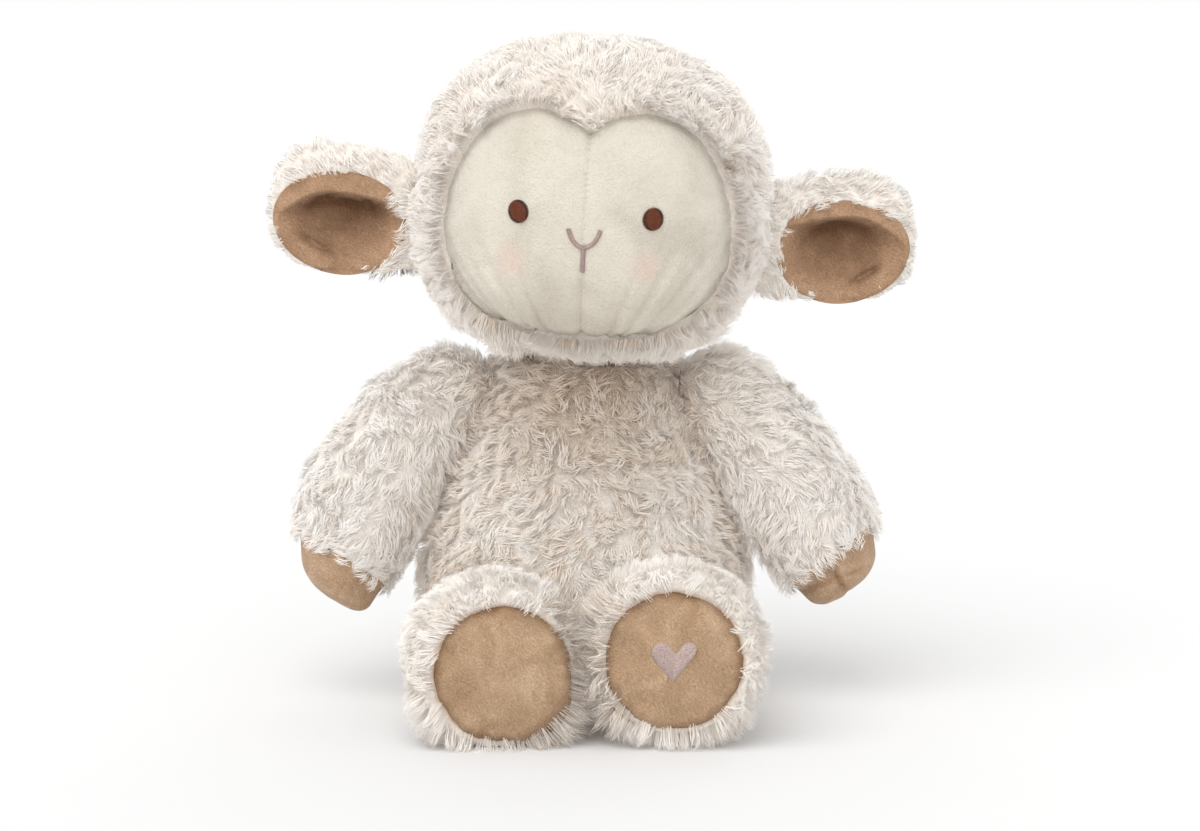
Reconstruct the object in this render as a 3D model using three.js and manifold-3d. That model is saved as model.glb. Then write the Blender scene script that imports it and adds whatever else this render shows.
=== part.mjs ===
// A seated plush lamb: fur fabric skins over soft filling, a smooth face panel, bare fabric
// hoof caps and soles, and raised embroidery. Millimetres, +Z up. The toy faces -Y, so its own
// left side lies at +X. The origin is the middle of its flat seat on the floor.
// Every soft form is an oval outline turned about a middle line, and every smaller form is cut
// where it meets a larger one, as the parts of a sewn toy press against each other.

import * as THREE from "three";
import { mergeVertices } from "three/addons/utils/BufferGeometryUtils.js";
import Module from "manifold-3d";

const wasm = await Module();
wasm.setup();

// Cloth and clearances
const furPile = 3; // depth of the fur once it is pressed down
const backing = 1.2; // the woven cloth that carries the fur, and the bare cloth's thickness
const seamGap = 0.3; // between two pieces of one body
const jointGap = 0.5; // between two bodies that move
const seatCut = 0.5; // how far a soft form is flattened where it rests
const overrun = 20; // how far a cutting shape runs past what it cuts

// Torso: a pear, wide at the seat and narrow at the neck
const torso = {
  height: 160,
  halfWidth: 73,
  halfDepth: 57,
  sides: 24,
  rings: 13,
  outlineShares: [
    [0, 0], [0.48, 0.002], [0.8, 0.05], [0.96, 0.15], [1, 0.29], [0.93, 0.48],
    [0.79, 0.67], [0.67, 0.83], [0.52, 0.94], [0.28, 0.99], [0, 1],
  ],
};
const neckSlack = 0.6; // around that ball, so that its facets turn freely
const neckFacets = { around: 24, high: 14 };
const neckRadius = 24; // the firm ball of filling in the neck
const beanBagHeight = 22; // the pellets in the seat that keep the toy upright
const beanBagFrontShare = 0.08; // of the torso's depth, behind the middle

// Head: a wide egg, a little deeper than half its height
const head = {
  height: 140,
  halfWidth: 77.5,
  halfDepth: 64,
  sides: 28,
  rings: 15,
  outlineShares: [
    [0, 0], [0.42, 0.03], [0.755, 0.115], [0.935, 0.25], [0.996, 0.4], [1, 0.53],
    [0.955, 0.68], [0.84, 0.81], [0.63, 0.92], [0.34, 0.985], [0, 1],
  ],
};
const headRollDegrees = 3.2; // its left cheek hangs a little lower
const headTurnDegrees = -2; // it looks a little towards its own right
const headShift = 3; // to its left
const headForwardShare = 0.1; // of the torso's depth
const headSink = 11; // of the head's lowest point into the top of the torso

// Face panel: two rounded lobes over the brow, and full cheeks
const faceHalfWidth = 60;
const faceHalfHeight = 47;
const faceDrop = 9; // of its middle below the middle of the head
const muzzle = { rise: 5, reachWide: 26, reachHigh: 24, drop: 14 };
const faceOutlineShares = [
  [0, 0.8], [0.14, 0.93], [0.42, 1], [0.72, 0.84], [0.92, 0.48], [1, 0.08], [0.96, -0.36],
  [0.78, -0.74], [0.46, -0.95], [0, -1], [-0.46, -0.95], [-0.78, -0.74], [-0.96, -0.36],
  [-1, 0.08], [-0.92, 0.48], [-0.72, 0.84], [-0.42, 1], [-0.14, 0.93],
];

// Embroidery on the face and on one sole
const stitchRise = 1.1;
const eye = { halfWidth: 4.4, halfHeight: 5, spacing: 58, drop: 4 };
const nose = { halfWidth: 7, armRise: 8, stem: 10, thread: 1.9, drop: 18 };
const heart = { halfWidth: 9, height: 17 };
const heartOutlineShares = [
  [0, 0], [0.62, 0.4], [1, 0.72], [0.86, 0.98], [0.42, 1], [0, 0.78],
  [-0.42, 1], [-0.86, 0.98], [-1, 0.72], [-0.62, 0.4],
];

// Ears: flat furred leaves with a bare lining set into the front
const ear = {
  height: 74, // from root to tip
  halfWidth: 28.5,
  halfDepth: 7,
  sides: 16,
  rings: 9,
  outlineShares: [
    [0, 0], [0.74, 0.02], [0.84, 0.12], [0.93, 0.32], [1, 0.56], [0.94, 0.78], [0.66, 0.94],
    [0.3, 0.99], [0, 1],
  ],
};
const earRootInside = 9; // of its length, within the head before it is cut
const earLiningShare = 0.72; // of the ear's width and length
const earLiningMiddleShare = 0.54; // of the ear's length, from its root
const earLiningDepth = 2; // of the recess below the ear's front
const earLiningDrop = 5; // of the lining's middle below the middle of the ear
const ears = [
  { name: "right", side: -1, rise: -9, liftDegrees: 6, backDegrees: 3 },
  { name: "left", side: 1, rise: -19, liftDegrees: 2, backDegrees: 3 },
];
const earFoldDegrees = { back: -25, forward: 35 };

// Arms: they hang outwards from the shoulders and end in bare hoof caps
const arm = {
  height: 126, // from shoulder to tip
  halfWidth: 27.5,
  halfDepth: 26,
  sides: 18,
  rings: 12,
  outlineShares: [
    [0, 0], [0.56, 0.02], [0.8, 0.12], [0.93, 0.3], [1, 0.52], [1, 0.7], [0.94, 0.81], [0.82, 0.88],
    [0.68, 0.95], [0.4, 0.99], [0, 1],
  ],
};
const cuffShare = 0.85; // of the arm's length, where the fur stops
const shoulderWideShare = 0.63; // of the torso's half width
const shoulderHighShare = 0.905; // of the torso's height
const arms = [
  { name: "right", side: -1, outDegrees: 32, forwardDegrees: 10.8, bow: 13 },
  { name: "left", side: 1, outDegrees: 35.2, forwardDegrees: 10.8, bow: 7 },
];
const armCreaseShares = { wide: 0.58, high: 0.945 }; // of the torso's half width and height

// Legs: they lie forwards on the floor with the soles upright
const leg = {
  height: 112, // from hip to sole
  halfWidth: 35.5,
  halfDepth: 35.5,
  sides: 20,
  rings: 11,
  outlineShares: [
    [0, 0], [0.5, 0.01], [0.74, 0.08], [0.8, 0.28], [0.88, 0.56], [0.98, 0.76], [1, 0.86],
    [0.96, 0.94], [0.84, 0.985], [0.5, 1], [0, 1],
  ],
};
const legSink = 1.8; // of its middle line, so that the thickest ring is pressed flat on the floor
const soleRadius = 30;
const hipWideShare = 0.56; // of the torso's half width
const hipForwardShare = 0.42; // of the torso's half depth
const legs = [
  { name: "right", side: -1, toeInDegrees: 2, liftDegrees: 0, soleShift: 4, soleDrop: 3 },
  { name: "left", side: 1, toeInDegrees: 1.5, liftDegrees: 3, soleShift: 1, soleDrop: 3 },
];
const hipCreaseShares = { forward: 0.93, high: 0.96 }; // of the torso's half depth and the leg's depth

// Tail: a small tuft low on the back
const tail = {
  height: 36,
  halfWidth: 13,
  halfDepth: 11,
  sides: 14,
  rings: 8,
  outlineShares: [[0, 0], [0.6, 0.02], [0.85, 0.2], [1, 0.55], [0.8, 0.86], [0.4, 0.98], [0, 1]],
};
const tailRootHighShare = 0.36; // of the torso's height
const tailRootBackShare = 0.86; // of the torso's half depth
const tailDropDegrees = 35;
const tailWagDegrees = 15;

const nodDegrees = { back: -10, forward: 10 };
const turnDegrees = 20;
const sweepSteps = 4;

const X = new THREE.Vector3(1, 0, 0);
const Y = new THREE.Vector3(0, 1, 0);
const Z = new THREE.Vector3(0, 0, 1);
const radians = THREE.MathUtils.degToRad;

const furFabric = { color: 0xe6dfd6, roughness: 0.95, metalness: 0 };
const faceFabric = { color: 0xf1ead9, roughness: 0.9, metalness: 0 };
const tanFabric = { color: 0xc5a27e, roughness: 0.85, metalness: 0 };
const brownThread = { color: 0x4a2413, roughness: 0.6, metalness: 0 };
const mauveThread = { color: 0x9c8078, roughness: 0.6, metalness: 0 };
const filling = { color: 0xfafaf7, roughness: 1, metalness: 0 };
const pelletCloth = { color: 0xd9d4c6, roughness: 0.9, metalness: 0 };

// A solid from a geometry whose place in the toy is a matrix.
function solid(geometry, place = new THREE.Matrix4()) {
  const bare = new THREE.BufferGeometry();
  bare.setAttribute("position", geometry.getAttribute("position").clone());
  bare.setIndex(geometry.index);
  const merged = mergeVertices(bare.applyMatrix4(place));
  return new wasm.Manifold(new wasm.Mesh({
    numProp: 3,
    vertProperties: merged.getAttribute("position").array,
    triVerts: new Uint32Array(merged.index.array),
  }));
}

function joined(solids) {
  return solids.reduce((all, next) => all.add(next));
}

// A matrix that stands a form's own +Z along a direction, with its own +X as near outward as it can.
function standing(origin, direction, outward) {
  const along = direction.clone().normalize();
  const across = outward.clone().addScaledVector(along, -outward.dot(along)).normalize();
  const deep = new THREE.Vector3().crossVectors(along, across);
  return new THREE.Matrix4().makeBasis(across, deep, along).setPosition(origin);
}

function turnedAbout(pivot, axis, degrees) {
  return new THREE.Matrix4()
    .makeTranslation(pivot)
    .multiply(new THREE.Matrix4().makeRotationAxis(axis, radians(degrees)))
    .multiply(new THREE.Matrix4().makeTranslation(pivot.clone().negate()));
}

// A soft form: its outline's points are shares of the half width and of the length, smoothed by a
// spline and turned about +Z in oval rings. The middle line bows sideways, and the whole surface
// moves inwards along its normal by the inset, or outwards where that is negative.
function softForm(form, inset = 0, { bow = 0, detail = 1 } = {}) {
  const { height, halfWidth, halfDepth, outlineShares } = form;
  const rings = Math.round(form.rings * detail);
  const sides = Math.round(form.sides * detail);
  const outline = new THREE.SplineCurve(outlineShares.map(([r, l]) => new THREE.Vector2(r, l)));
  const profile = outline.getSpacedPoints(rings);
  const girth = (halfWidth + halfDepth) / 2;
  const points = [0, 0, inset];
  for (let i = 1; i < rings; i++) {
    const { x: r, y: l } = profile[i];
    const rise = (profile[i + 1].y - profile[i - 1].y) * height;
    const swell = (profile[i + 1].x - profile[i - 1].x) * girth;
    const slope = Math.hypot(rise, swell);
    const inwards = (rise / slope) * inset;
    const middle = bow * 4 * l * (1 - l);
    for (let j = 0; j < sides; j++) {
      const turn = (j / sides) * 2 * Math.PI;
      points.push(
        middle + Math.cos(turn) * (r * halfWidth - inwards),
        Math.sin(turn) * (r * halfDepth - inwards),
        l * height + (swell / slope) * inset,
      );
    }
  }
  points.push(0, 0, height - inset);
  const faces = [];
  const last = points.length / 3 - 1;
  for (let j = 0; j < sides; j++) {
    const next = (j + 1) % sides;
    faces.push(0, 1 + next, 1 + j);
    for (let i = 0; i < rings - 2; i++) {
      const low = 1 + i * sides;
      const high = low + sides;
      faces.push(low + j, low + next, high + next, low + j, high + next, high + j);
    }
    faces.push(last, last - sides + j, last - sides + next);
  }
  const geometry = new THREE.BufferGeometry();
  geometry.setAttribute("position", new THREE.Float32BufferAttribute(points, 3));
  return geometry.setIndex(faces);
}

// A straight-sided cutter: a smooth closed outline in the form's own X and Z, drawn as shares of a
// half width and a half height, and pushed from one depth to another along -Y.
function frontPrism(outlineShares, wide, high, { x = 0, z = 0, from, to, smooth = true, points = 40 }) {
  const corners = outlineShares.map(([a, b]) => new THREE.Vector3(x + a * wide, z + b * high, 0));
  const curve = new THREE.CatmullRomCurve3(corners, true, "centripetal");
  const outline = smooth ? curve.getPoints(points).slice(0, -1) : corners;
  const shape = new THREE.Shape(outline.map((p) => new THREE.Vector2(p.x, p.y)));
  const prism = new THREE.ExtrudeGeometry(shape, { depth: to - from, bevelEnabled: false });
  const towardsFront = new THREE.Matrix4().makeBasis(X, Z, Y.clone().negate());
  return prism.applyMatrix4(towardsFront.setPosition(0, -from, 0));
}

function ovalShares(count) {
  return Array.from({ length: count }, (_, i) => {
    const turn = (i / count) * 2 * Math.PI;
    return [Math.cos(turn), Math.sin(turn)];
  });
}

function piece(name, made, look, pivot) {
  const { vertProperties, triVerts } = made.getMesh();
  const geometry = new THREE.BufferGeometry();
  geometry.setAttribute("position", new THREE.BufferAttribute(vertProperties, 3));
  geometry.setIndex(new THREE.BufferAttribute(triVerts, 1));
  geometry.translate(-pivot.x, -pivot.y, -pivot.z);
  geometry.computeVertexNormals();
  const mesh = new THREE.Mesh(geometry, new THREE.MeshStandardMaterial(look));
  mesh.name = name;
  return mesh;
}

// A body that moves as one: its pieces hang in a group that stands at its joint.
function body(pivot, pieces) {
  const group = new THREE.Group();
  group.position.copy(pivot);
  for (const [name, made, look] of pieces) group.add(piece(name, made, look, pivot));
  return group;
}

const inner = furPile + backing; // from the outside of a skin to its inside
const fillingInset = inner + seamGap;
const coarse = 0.6; // share of the outer rings and sides that an inner surface has

// Torso
const floorSlab = solid(
  new THREE.BoxGeometry(2 * torso.height + overrun, 4 * torso.height, overrun)
    .translate(0, 0, -overrun / 2),
);
const torsoPlace = new THREE.Matrix4().makeTranslation(0, 0, -seatCut);
const torsoForm = (inset, detail) => solid(softForm(torso, inset, { detail }), torsoPlace);
const neck = new THREE.Vector3(0, 0, torso.height - seatCut - headSink);
const neckBall = (grown) => solid(
  new THREE.SphereGeometry(neckRadius + grown, neckFacets.around, neckFacets.high).translate(neck.x, neck.y, neck.z),
);

// Head, placed by its own middle
const headMiddle = new THREE.Vector3(
  headShift,
  -headForwardShare * torso.halfDepth,
  neck.z + head.height / 2,
);
const headPlace = new THREE.Matrix4()
  .makeTranslation(headMiddle)
  .multiply(new THREE.Matrix4().makeRotationY(radians(headRollDegrees)))
  .multiply(new THREE.Matrix4().makeRotationZ(radians(headTurnDegrees)));

// The muzzle swells the front of the head forwards, most at a point under the middle.
function headGeometry(inset, detail) {
  const geometry = softForm(head, inset, { detail }).translate(0, 0, -head.height / 2);
  const position = geometry.getAttribute("position");
  for (let i = 0; i < position.count; i++) {
    const front = Math.max(0, -position.getY(i) / head.halfDepth);
    const wide = position.getX(i) / muzzle.reachWide;
    const high = (position.getZ(i) + muzzle.drop) / muzzle.reachHigh;
    const swell = muzzle.rise * front * Math.exp(-(wide * wide + high * high) / 2);
    position.setY(i, position.getY(i) - swell);
  }
  return geometry;
}
const headForm = (inset, detail) => solid(headGeometry(inset, detail), headPlace);

// All places of the head between its limits, as one cutter
function headSweep() {
  const grown = headGeometry(-jointGap, 1).applyMatrix4(headPlace);
  const cutters = [];
  for (let i = 0; i <= sweepSteps; i++) {
    const nod = nodDegrees.back + (nodDegrees.forward - nodDegrees.back) * (i / sweepSteps);
    for (const turn of [-turnDegrees, 0, turnDegrees]) {
      const place = turnedAbout(neck, Z, turn).multiply(turnedAbout(neck, X, nod));
      cutters.push(solid(grown, place));
    }
  }
  cutters.push(solid(grown));
  return joined(cutters);
}
const neckSpace = headSweep().add(neckBall(neckSlack));

const beanBagSpace = (grown) => solid(
  new THREE.BoxGeometry(4 * torso.halfWidth, torso.halfDepth + 2 * grown, 2 * (beanBagHeight + grown))
    .translate(0, torso.halfDepth * (beanBagFrontShare + 1 / 2), 0),
);
const torsoFilling = torsoForm(fillingInset, coarse).subtract(floorSlab).subtract(neckSpace);
const torsoSkin = torsoForm(0, 1)
  .subtract(torsoForm(inner, coarse))
  .subtract(floorSlab)
  .subtract(neckSpace);

const group = new THREE.Group();
group.add(body(new THREE.Vector3(), [
  ["torso_fur", torsoSkin, furFabric],
  ["torso_filling", torsoFilling.subtract(beanBagSpace(seamGap)), filling],
  ["seat_bean_bag", torsoFilling.intersect(beanBagSpace(0)), pelletCloth],
]));
group.add(body(neck, [["neck_filling", neckBall(0), filling]]));

// Face
const facePrism = (grown) => solid(
  frontPrism(faceOutlineShares, faceHalfWidth + grown, faceHalfHeight + grown, {
    z: -faceDrop,
    from: 0,
    to: head.halfDepth + overrun,
  }),
  headPlace,
);
function stitched(outlineShares, wide, high, options) {
  const stitches = frontPrism(outlineShares, wide, high, {
    from: 0,
    to: head.halfDepth + overrun,
    ...options,
  });
  return headForm(furPile - seamGap - stitchRise, 1)
    .subtract(headForm(furPile - seamGap, 1))
    .intersect(solid(stitches, headPlace));
}
const eyeOf = (side) => stitched(ovalShares(14), eye.halfWidth, eye.halfHeight, {
  x: (side * eye.spacing) / 2,
  z: -eye.drop,
  smooth: false,
});

// The nose is a Y of thread: two short arms and a stem, drawn clockwise from the stem's foot.
function noseSolid() {
  const half = nose.thread / 2;
  const outline = [
    [half, -nose.stem], [half, 0], [nose.halfWidth, nose.armRise - half],
    [nose.halfWidth - nose.thread, nose.armRise], [0, nose.thread],
    [nose.thread - nose.halfWidth, nose.armRise], [-nose.halfWidth, nose.armRise - half],
    [-half, 0], [-half, -nose.stem],
  ];
  return stitched(outline, 1, 1, { z: -nose.drop, smooth: false });
}
const headCut = neckBall(neckSlack);
const headPieces = [
  ["head_fur", headForm(0, 1).subtract(headForm(inner, 1)).subtract(facePrism(seamGap))
    .subtract(headCut), furFabric],
  ["face_panel", headForm(furPile, 1).subtract(headForm(inner, 1)).intersect(facePrism(0)),
    faceFabric],
  ["head_filling", headForm(fillingInset, 1).subtract(headCut), filling],
  ["right_eye", eyeOf(-1), brownThread],
  ["left_eye", eyeOf(1), brownThread],
  ["nose_stitching", noseSolid(), mauveThread],
];
group.add(body(neck, headPieces));

// Ears
for (const { name, side, rise, liftDegrees, backDegrees } of ears) {
  const direction = new THREE.Vector3(
    side * Math.cos(radians(liftDegrees)),
    Math.sin(radians(backDegrees)),
    Math.sin(radians(liftDegrees)),
  );
  const root = headMiddle.clone().add(new THREE.Vector3(side * (head.halfWidth - earRootInside), 0, rise));
  const seam = headMiddle.clone().add(new THREE.Vector3(side * head.halfWidth, 0, rise));
  // The ear's own +X points up, so its own +Y points back on one side and forwards on the other.
  const place = standing(root, direction, Z);
  const toFront = -Math.sign(new THREE.Vector3().setFromMatrixColumn(place, 1).y);
  const form = (inset) => solid(softForm(ear, inset), place);
  const headAround = [];
  for (let i = 0; i <= sweepSteps; i++) {
    const fold = earFoldDegrees.back
      + (earFoldDegrees.forward - earFoldDegrees.back) * (i / sweepSteps);
    const grown = headGeometry(-jointGap, 1).applyMatrix4(headPlace);
    headAround.push(solid(grown, turnedAbout(seam, Z, side * fold)));
  }
  const rootCut = joined(headAround).add(headForm(-jointGap, 1));
  const liningOval = (grown) => {
    const oval = new THREE.Shape().absellipse(
      0, 0, ear.halfWidth * earLiningShare + grown, (ear.height / 2) * earLiningShare + grown,
      0, 2 * Math.PI, false, 0,
    );
    const prism = new THREE.ExtrudeGeometry(oval, {
      depth: ear.halfDepth + overrun,
      bevelEnabled: false,
      curveSegments: 10,
    });
    const upright = new THREE.Matrix4().makeBasis(X, Z, Y.clone().negate());
    prism.applyMatrix4(upright);
    if (toFront > 0) prism.applyMatrix4(new THREE.Matrix4().makeRotationZ(Math.PI));
    return prism.translate(-earLiningDrop, -toFront * grown, ear.height * earLiningMiddleShare);
  };
  const recess = solid(liningOval(seamGap).translate(0, toFront * earLiningDepth, 0), place);
  const fur = form(0).subtract(recess).subtract(rootCut);
  const lining = form(furPile)
    .intersect(solid(liningOval(0).translate(0, toFront * earLiningDepth, 0), place))
    .subtract(rootCut);
  group.add(body(seam, [
    [`${name}_ear_fur`, fur, furFabric],
    [`${name}_ear_lining`, lining, tanFabric],
  ]));
}

// A limb's pieces: the fur sleeve and bare end over its filling, all cut by the torso.
function limb(name, form, place, bow, endCutter, endName) {
  const torsoCut = torsoForm(-jointGap, 1);
  const made = (inset, detail) => solid(softForm(form, inset, { bow, detail }), place);
  const cut = (shape) => shape.subtract(torsoCut).subtract(floorSlab);
  const sleeve = made(0, 1).subtract(made(inner, coarse)).subtract(endCutter(seamGap));
  const end = made(furPile, 1).subtract(made(inner, coarse)).intersect(endCutter(0));
  return [
    [`${name}_fur`, cut(sleeve), furFabric],
    [endName, cut(end), tanFabric],
    [`${name}_filling`, cut(made(fillingInset, coarse)), filling],
  ];
}

// Arms
for (const { name, side, outDegrees, forwardDegrees, bow } of arms) {
  const out = radians(outDegrees);
  const forward = radians(forwardDegrees);
  const direction = new THREE.Vector3(
    side * Math.sin(out) * Math.cos(forward),
    -Math.sin(forward),
    -Math.cos(out) * Math.cos(forward),
  );
  const root = new THREE.Vector3(
    side * shoulderWideShare * torso.halfWidth,
    0,
    shoulderHighShare * torso.height,
  );
  const crease = new THREE.Vector3(
    side * armCreaseShares.wide * torso.halfWidth,
    0,
    armCreaseShares.high * torso.height,
  );
  const place = standing(root, direction, X.clone().multiplyScalar(side));
  const capCutter = (grown) => solid(
    new THREE.BoxGeometry(4 * arm.halfWidth, 4 * arm.halfWidth, arm.height)
      .translate(0, 0, arm.height * (cuffShare + 1 / 2) - grown),
    place,
  );
  group.add(body(crease, limb(`${name}_arm`, arm, place, bow, capCutter, `${name}_hoof_cap`)));
}

// Legs
for (const { name, side, toeInDegrees, liftDegrees, soleShift, soleDrop } of legs) {
  const toeIn = radians(toeInDegrees);
  const lift = Math.tan(radians(liftDegrees));
  const direction = new THREE.Vector3(-side * Math.sin(toeIn), -Math.cos(toeIn), lift);
  const hip = new THREE.Vector3(
    side * hipWideShare * torso.halfWidth,
    -hipForwardShare * torso.halfDepth,
    leg.halfDepth - legSink,
  );
  const crease = new THREE.Vector3(
    hip.x,
    -hipCreaseShares.forward * torso.halfDepth,
    hip.z + hipCreaseShares.high * leg.halfDepth,
  );
  const place = standing(hip, direction, X);
  const soleMiddle = new THREE.Vector3(-side * soleShift, -soleDrop, leg.height);
  const soleCutter = (grown) => solid(
    new THREE.CylinderGeometry(soleRadius + grown, soleRadius + grown, leg.height / 4, leg.sides)
      .rotateX(Math.PI / 2)
      .translate(soleMiddle.x, soleMiddle.y, soleMiddle.z),
    place,
  );
  const pieces = limb(`${name}_leg`, leg, place, 0, soleCutter, `${name}_sole`);
  if (side > 0) {
    const drawn = frontPrism(heartOutlineShares, heart.halfWidth, heart.height, {
      from: leg.height / 2,
      to: leg.height + overrun,
      z: -heart.height / 2,
    });
    const upright = drawn.rotateX(-Math.PI / 2).translate(soleMiddle.x, soleMiddle.y, 0);
    const raised = solid(softForm(leg, furPile - seamGap - stitchRise), place)
      .subtract(solid(softForm(leg, furPile - seamGap), place))
      .intersect(solid(upright, place));
    pieces.push(["sole_heart_stitching", raised, mauveThread]);
  }
  group.add(body(crease, pieces));
}

// Tail
const tailRoot = new THREE.Vector3(
  0,
  tailRootBackShare * torso.halfDepth,
  tailRootHighShare * torso.height,
);
const tailDirection = new THREE.Vector3(
  0,
  Math.cos(radians(tailDropDegrees)),
  -Math.sin(radians(tailDropDegrees)),
);
const tailPlace = standing(tailRoot, tailDirection, X);
const torsoAround = [];
for (let i = -1; i <= 1; i++) {
  const grown = softForm(torso, -jointGap).applyMatrix4(torsoPlace);
  torsoAround.push(solid(grown, turnedAbout(tailRoot, Z, i * tailWagDegrees)));
}
const tailForm = solid(softForm(tail), tailPlace).subtract(joined(torsoAround));
group.add(body(tailRoot, [["tail", tailForm, furFabric]]));

export default group;
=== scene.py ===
"""A seated plush lamb: fur skins with their pile, bare velour pads, and a stitched face."""

import math

import bpy
import numpy as np
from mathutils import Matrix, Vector


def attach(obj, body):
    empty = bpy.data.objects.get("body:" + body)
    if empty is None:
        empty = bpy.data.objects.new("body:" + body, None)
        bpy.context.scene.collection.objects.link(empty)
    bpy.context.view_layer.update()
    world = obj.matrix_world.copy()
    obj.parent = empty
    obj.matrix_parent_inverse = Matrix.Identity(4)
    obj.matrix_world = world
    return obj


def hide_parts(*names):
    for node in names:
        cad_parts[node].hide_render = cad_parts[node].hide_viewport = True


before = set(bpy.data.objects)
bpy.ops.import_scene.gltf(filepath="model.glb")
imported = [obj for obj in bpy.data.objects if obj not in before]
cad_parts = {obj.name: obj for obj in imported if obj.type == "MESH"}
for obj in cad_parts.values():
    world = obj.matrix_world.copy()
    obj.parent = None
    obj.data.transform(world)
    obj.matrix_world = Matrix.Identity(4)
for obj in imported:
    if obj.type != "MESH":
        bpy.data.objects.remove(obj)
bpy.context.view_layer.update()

MM = 0.001  # sizes below are in millimetres, and meshes are in metres

# Stuffed forms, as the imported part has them
TORSO = dict(height=160, half_width=73, half_depth=57)
TORSO_SHARES = [
    (0, 0), (0.48, 0.002), (0.8, 0.05), (0.96, 0.15), (1, 0.29), (0.93, 0.48),
    (0.79, 0.67), (0.67, 0.83), (0.52, 0.94), (0.28, 0.99), (0, 1),
]
SEAT_CUT = 0.5
HEAD = dict(height=140, half_width=77.5, half_depth=64)
HEAD_SHARES = [
    (0, 0), (0.42, 0.03), (0.755, 0.115), (0.935, 0.25), (0.996, 0.4), (1, 0.53),
    (0.955, 0.68), (0.84, 0.81), (0.63, 0.92), (0.34, 0.985), (0, 1),
]
HEAD_SINK = 11
HEAD_SHIFT = 3
HEAD_FORWARD_SHARE = 0.1
HEAD_ROLL_DEGREES = 3.2
HEAD_TURN_DEGREES = -2
MUZZLE = dict(rise=5, reach_wide=26, reach_high=24, drop=14)
NOD_DEGREES = 10
TURN_DEGREES = 20

EAR = dict(height=74, half_width=28.5, half_depth=7)
EAR_SHARES = [
    (0, 0), (0.74, 0.02), (0.84, 0.12), (0.93, 0.32), (1, 0.56), (0.94, 0.78),
    (0.66, 0.94), (0.3, 0.99), (0, 1),
]
EAR_ROOT_INSIDE = 9
EARS = [
    dict(name="right", side=-1, rise=-9, lift_degrees=6, back_degrees=3),
    dict(name="left", side=1, rise=-19, lift_degrees=2, back_degrees=3),
]

ARM = dict(height=126, half_width=27.5, half_depth=26)
ARM_SHARES = [
    (0, 0), (0.56, 0.02), (0.8, 0.12), (0.93, 0.3), (1, 0.52), (1, 0.7),
    (0.94, 0.81), (0.82, 0.88), (0.68, 0.95), (0.4, 0.99), (0, 1),
]
CUFF_SHARE = 0.85
SHOULDER_WIDE_SHARE = 0.63
SHOULDER_HIGH_SHARE = 0.905
ARMS = [
    dict(name="right", side=-1, out_degrees=32, forward_degrees=10.8, bow=13),
    dict(name="left", side=1, out_degrees=35.2, forward_degrees=10.8, bow=7),
]

LEG = dict(height=112, half_width=35.5, half_depth=35.5)
LEG_SHARES = [
    (0, 0), (0.5, 0.01), (0.74, 0.08), (0.8, 0.28), (0.88, 0.56), (0.98, 0.76),
    (1, 0.86), (0.96, 0.94), (0.84, 0.985), (0.5, 1), (0, 1),
]
LEG_SINK = 1.8
HIP_WIDE_SHARE = 0.56
HIP_FORWARD_SHARE = 0.42
SOLE_RADIUS = 30
LEGS = [
    dict(name="right", side=-1, toe_in_degrees=2, lift_degrees=0, shift=4, drop=3),
    dict(name="left", side=1, toe_in_degrees=1.5, lift_degrees=3, shift=1, drop=3),
]

TAIL = dict(height=36, half_width=13, half_depth=11)
TAIL_SHARES = [(0, 0), (0.6, 0.02), (0.85, 0.2), (1, 0.55), (0.8, 0.86), (0.4, 0.98), (0, 1)]
TAIL_HIGH_SHARE = 0.36
TAIL_BACK_SHARE = 0.86
TAIL_DROP_DEGREES = 35

# The face panel and its stitching
FACE = dict(half_width=62.6, half_height=49.4, drop=9.6)
FACE_SHARES = [
    (0, 0.83), (0.14, 0.94), (0.42, 1), (0.72, 0.84), (0.92, 0.48), (1, 0.08),
    (0.96, -0.36), (0.78, -0.74), (0.46, -0.95), (0, -1), (-0.46, -0.95), (-0.78, -0.74),
    (-0.96, -0.36), (-1, 0.08), (-0.92, 0.48), (-0.72, 0.84), (-0.42, 1), (-0.14, 0.94),
]
EYE = dict(half_width=4.4, half_height=5, spacing=58, drop=4)
NOSE = dict(half_width=7, arm_rise=8, stem=10, thread=1.9, drop=18)
HEART = dict(half_width=9, height=17)
HEART_SHARES = [
    (0, 0), (0.62, 0.4), (1, 0.72), (0.86, 0.98), (0.42, 1), (0, 0.78),
    (-0.42, 1), (-0.86, 0.98), (-1, 0.72), (-0.62, 0.4), (0, 0),
]

PILE_DEPTH = 3  # from a form's outside in to the bare cloth of its pads
WADDING_DEPTH = 10  # from a form's outside in to its filling
CORE_DEPTH = 0.8  # from a form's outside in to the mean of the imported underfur
CORE_RELIEF = 0.5  # the underfur's locks rise and fall by this
CLOTH = 1.6  # thickness of bare cloth and its backing
GAP = 0.4  # between cloth that touches

# The photograph's camera
PHOTO_WIDTH = 1200
FOCAL_PIXELS = 3375
SENSOR_WIDTH = 36
CAMERA_DISTANCE = 1.5
CAMERA_UP_DEGREES = 7
CAMERA_AIM = (0.0067, 0.0, 0.1214)


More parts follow.
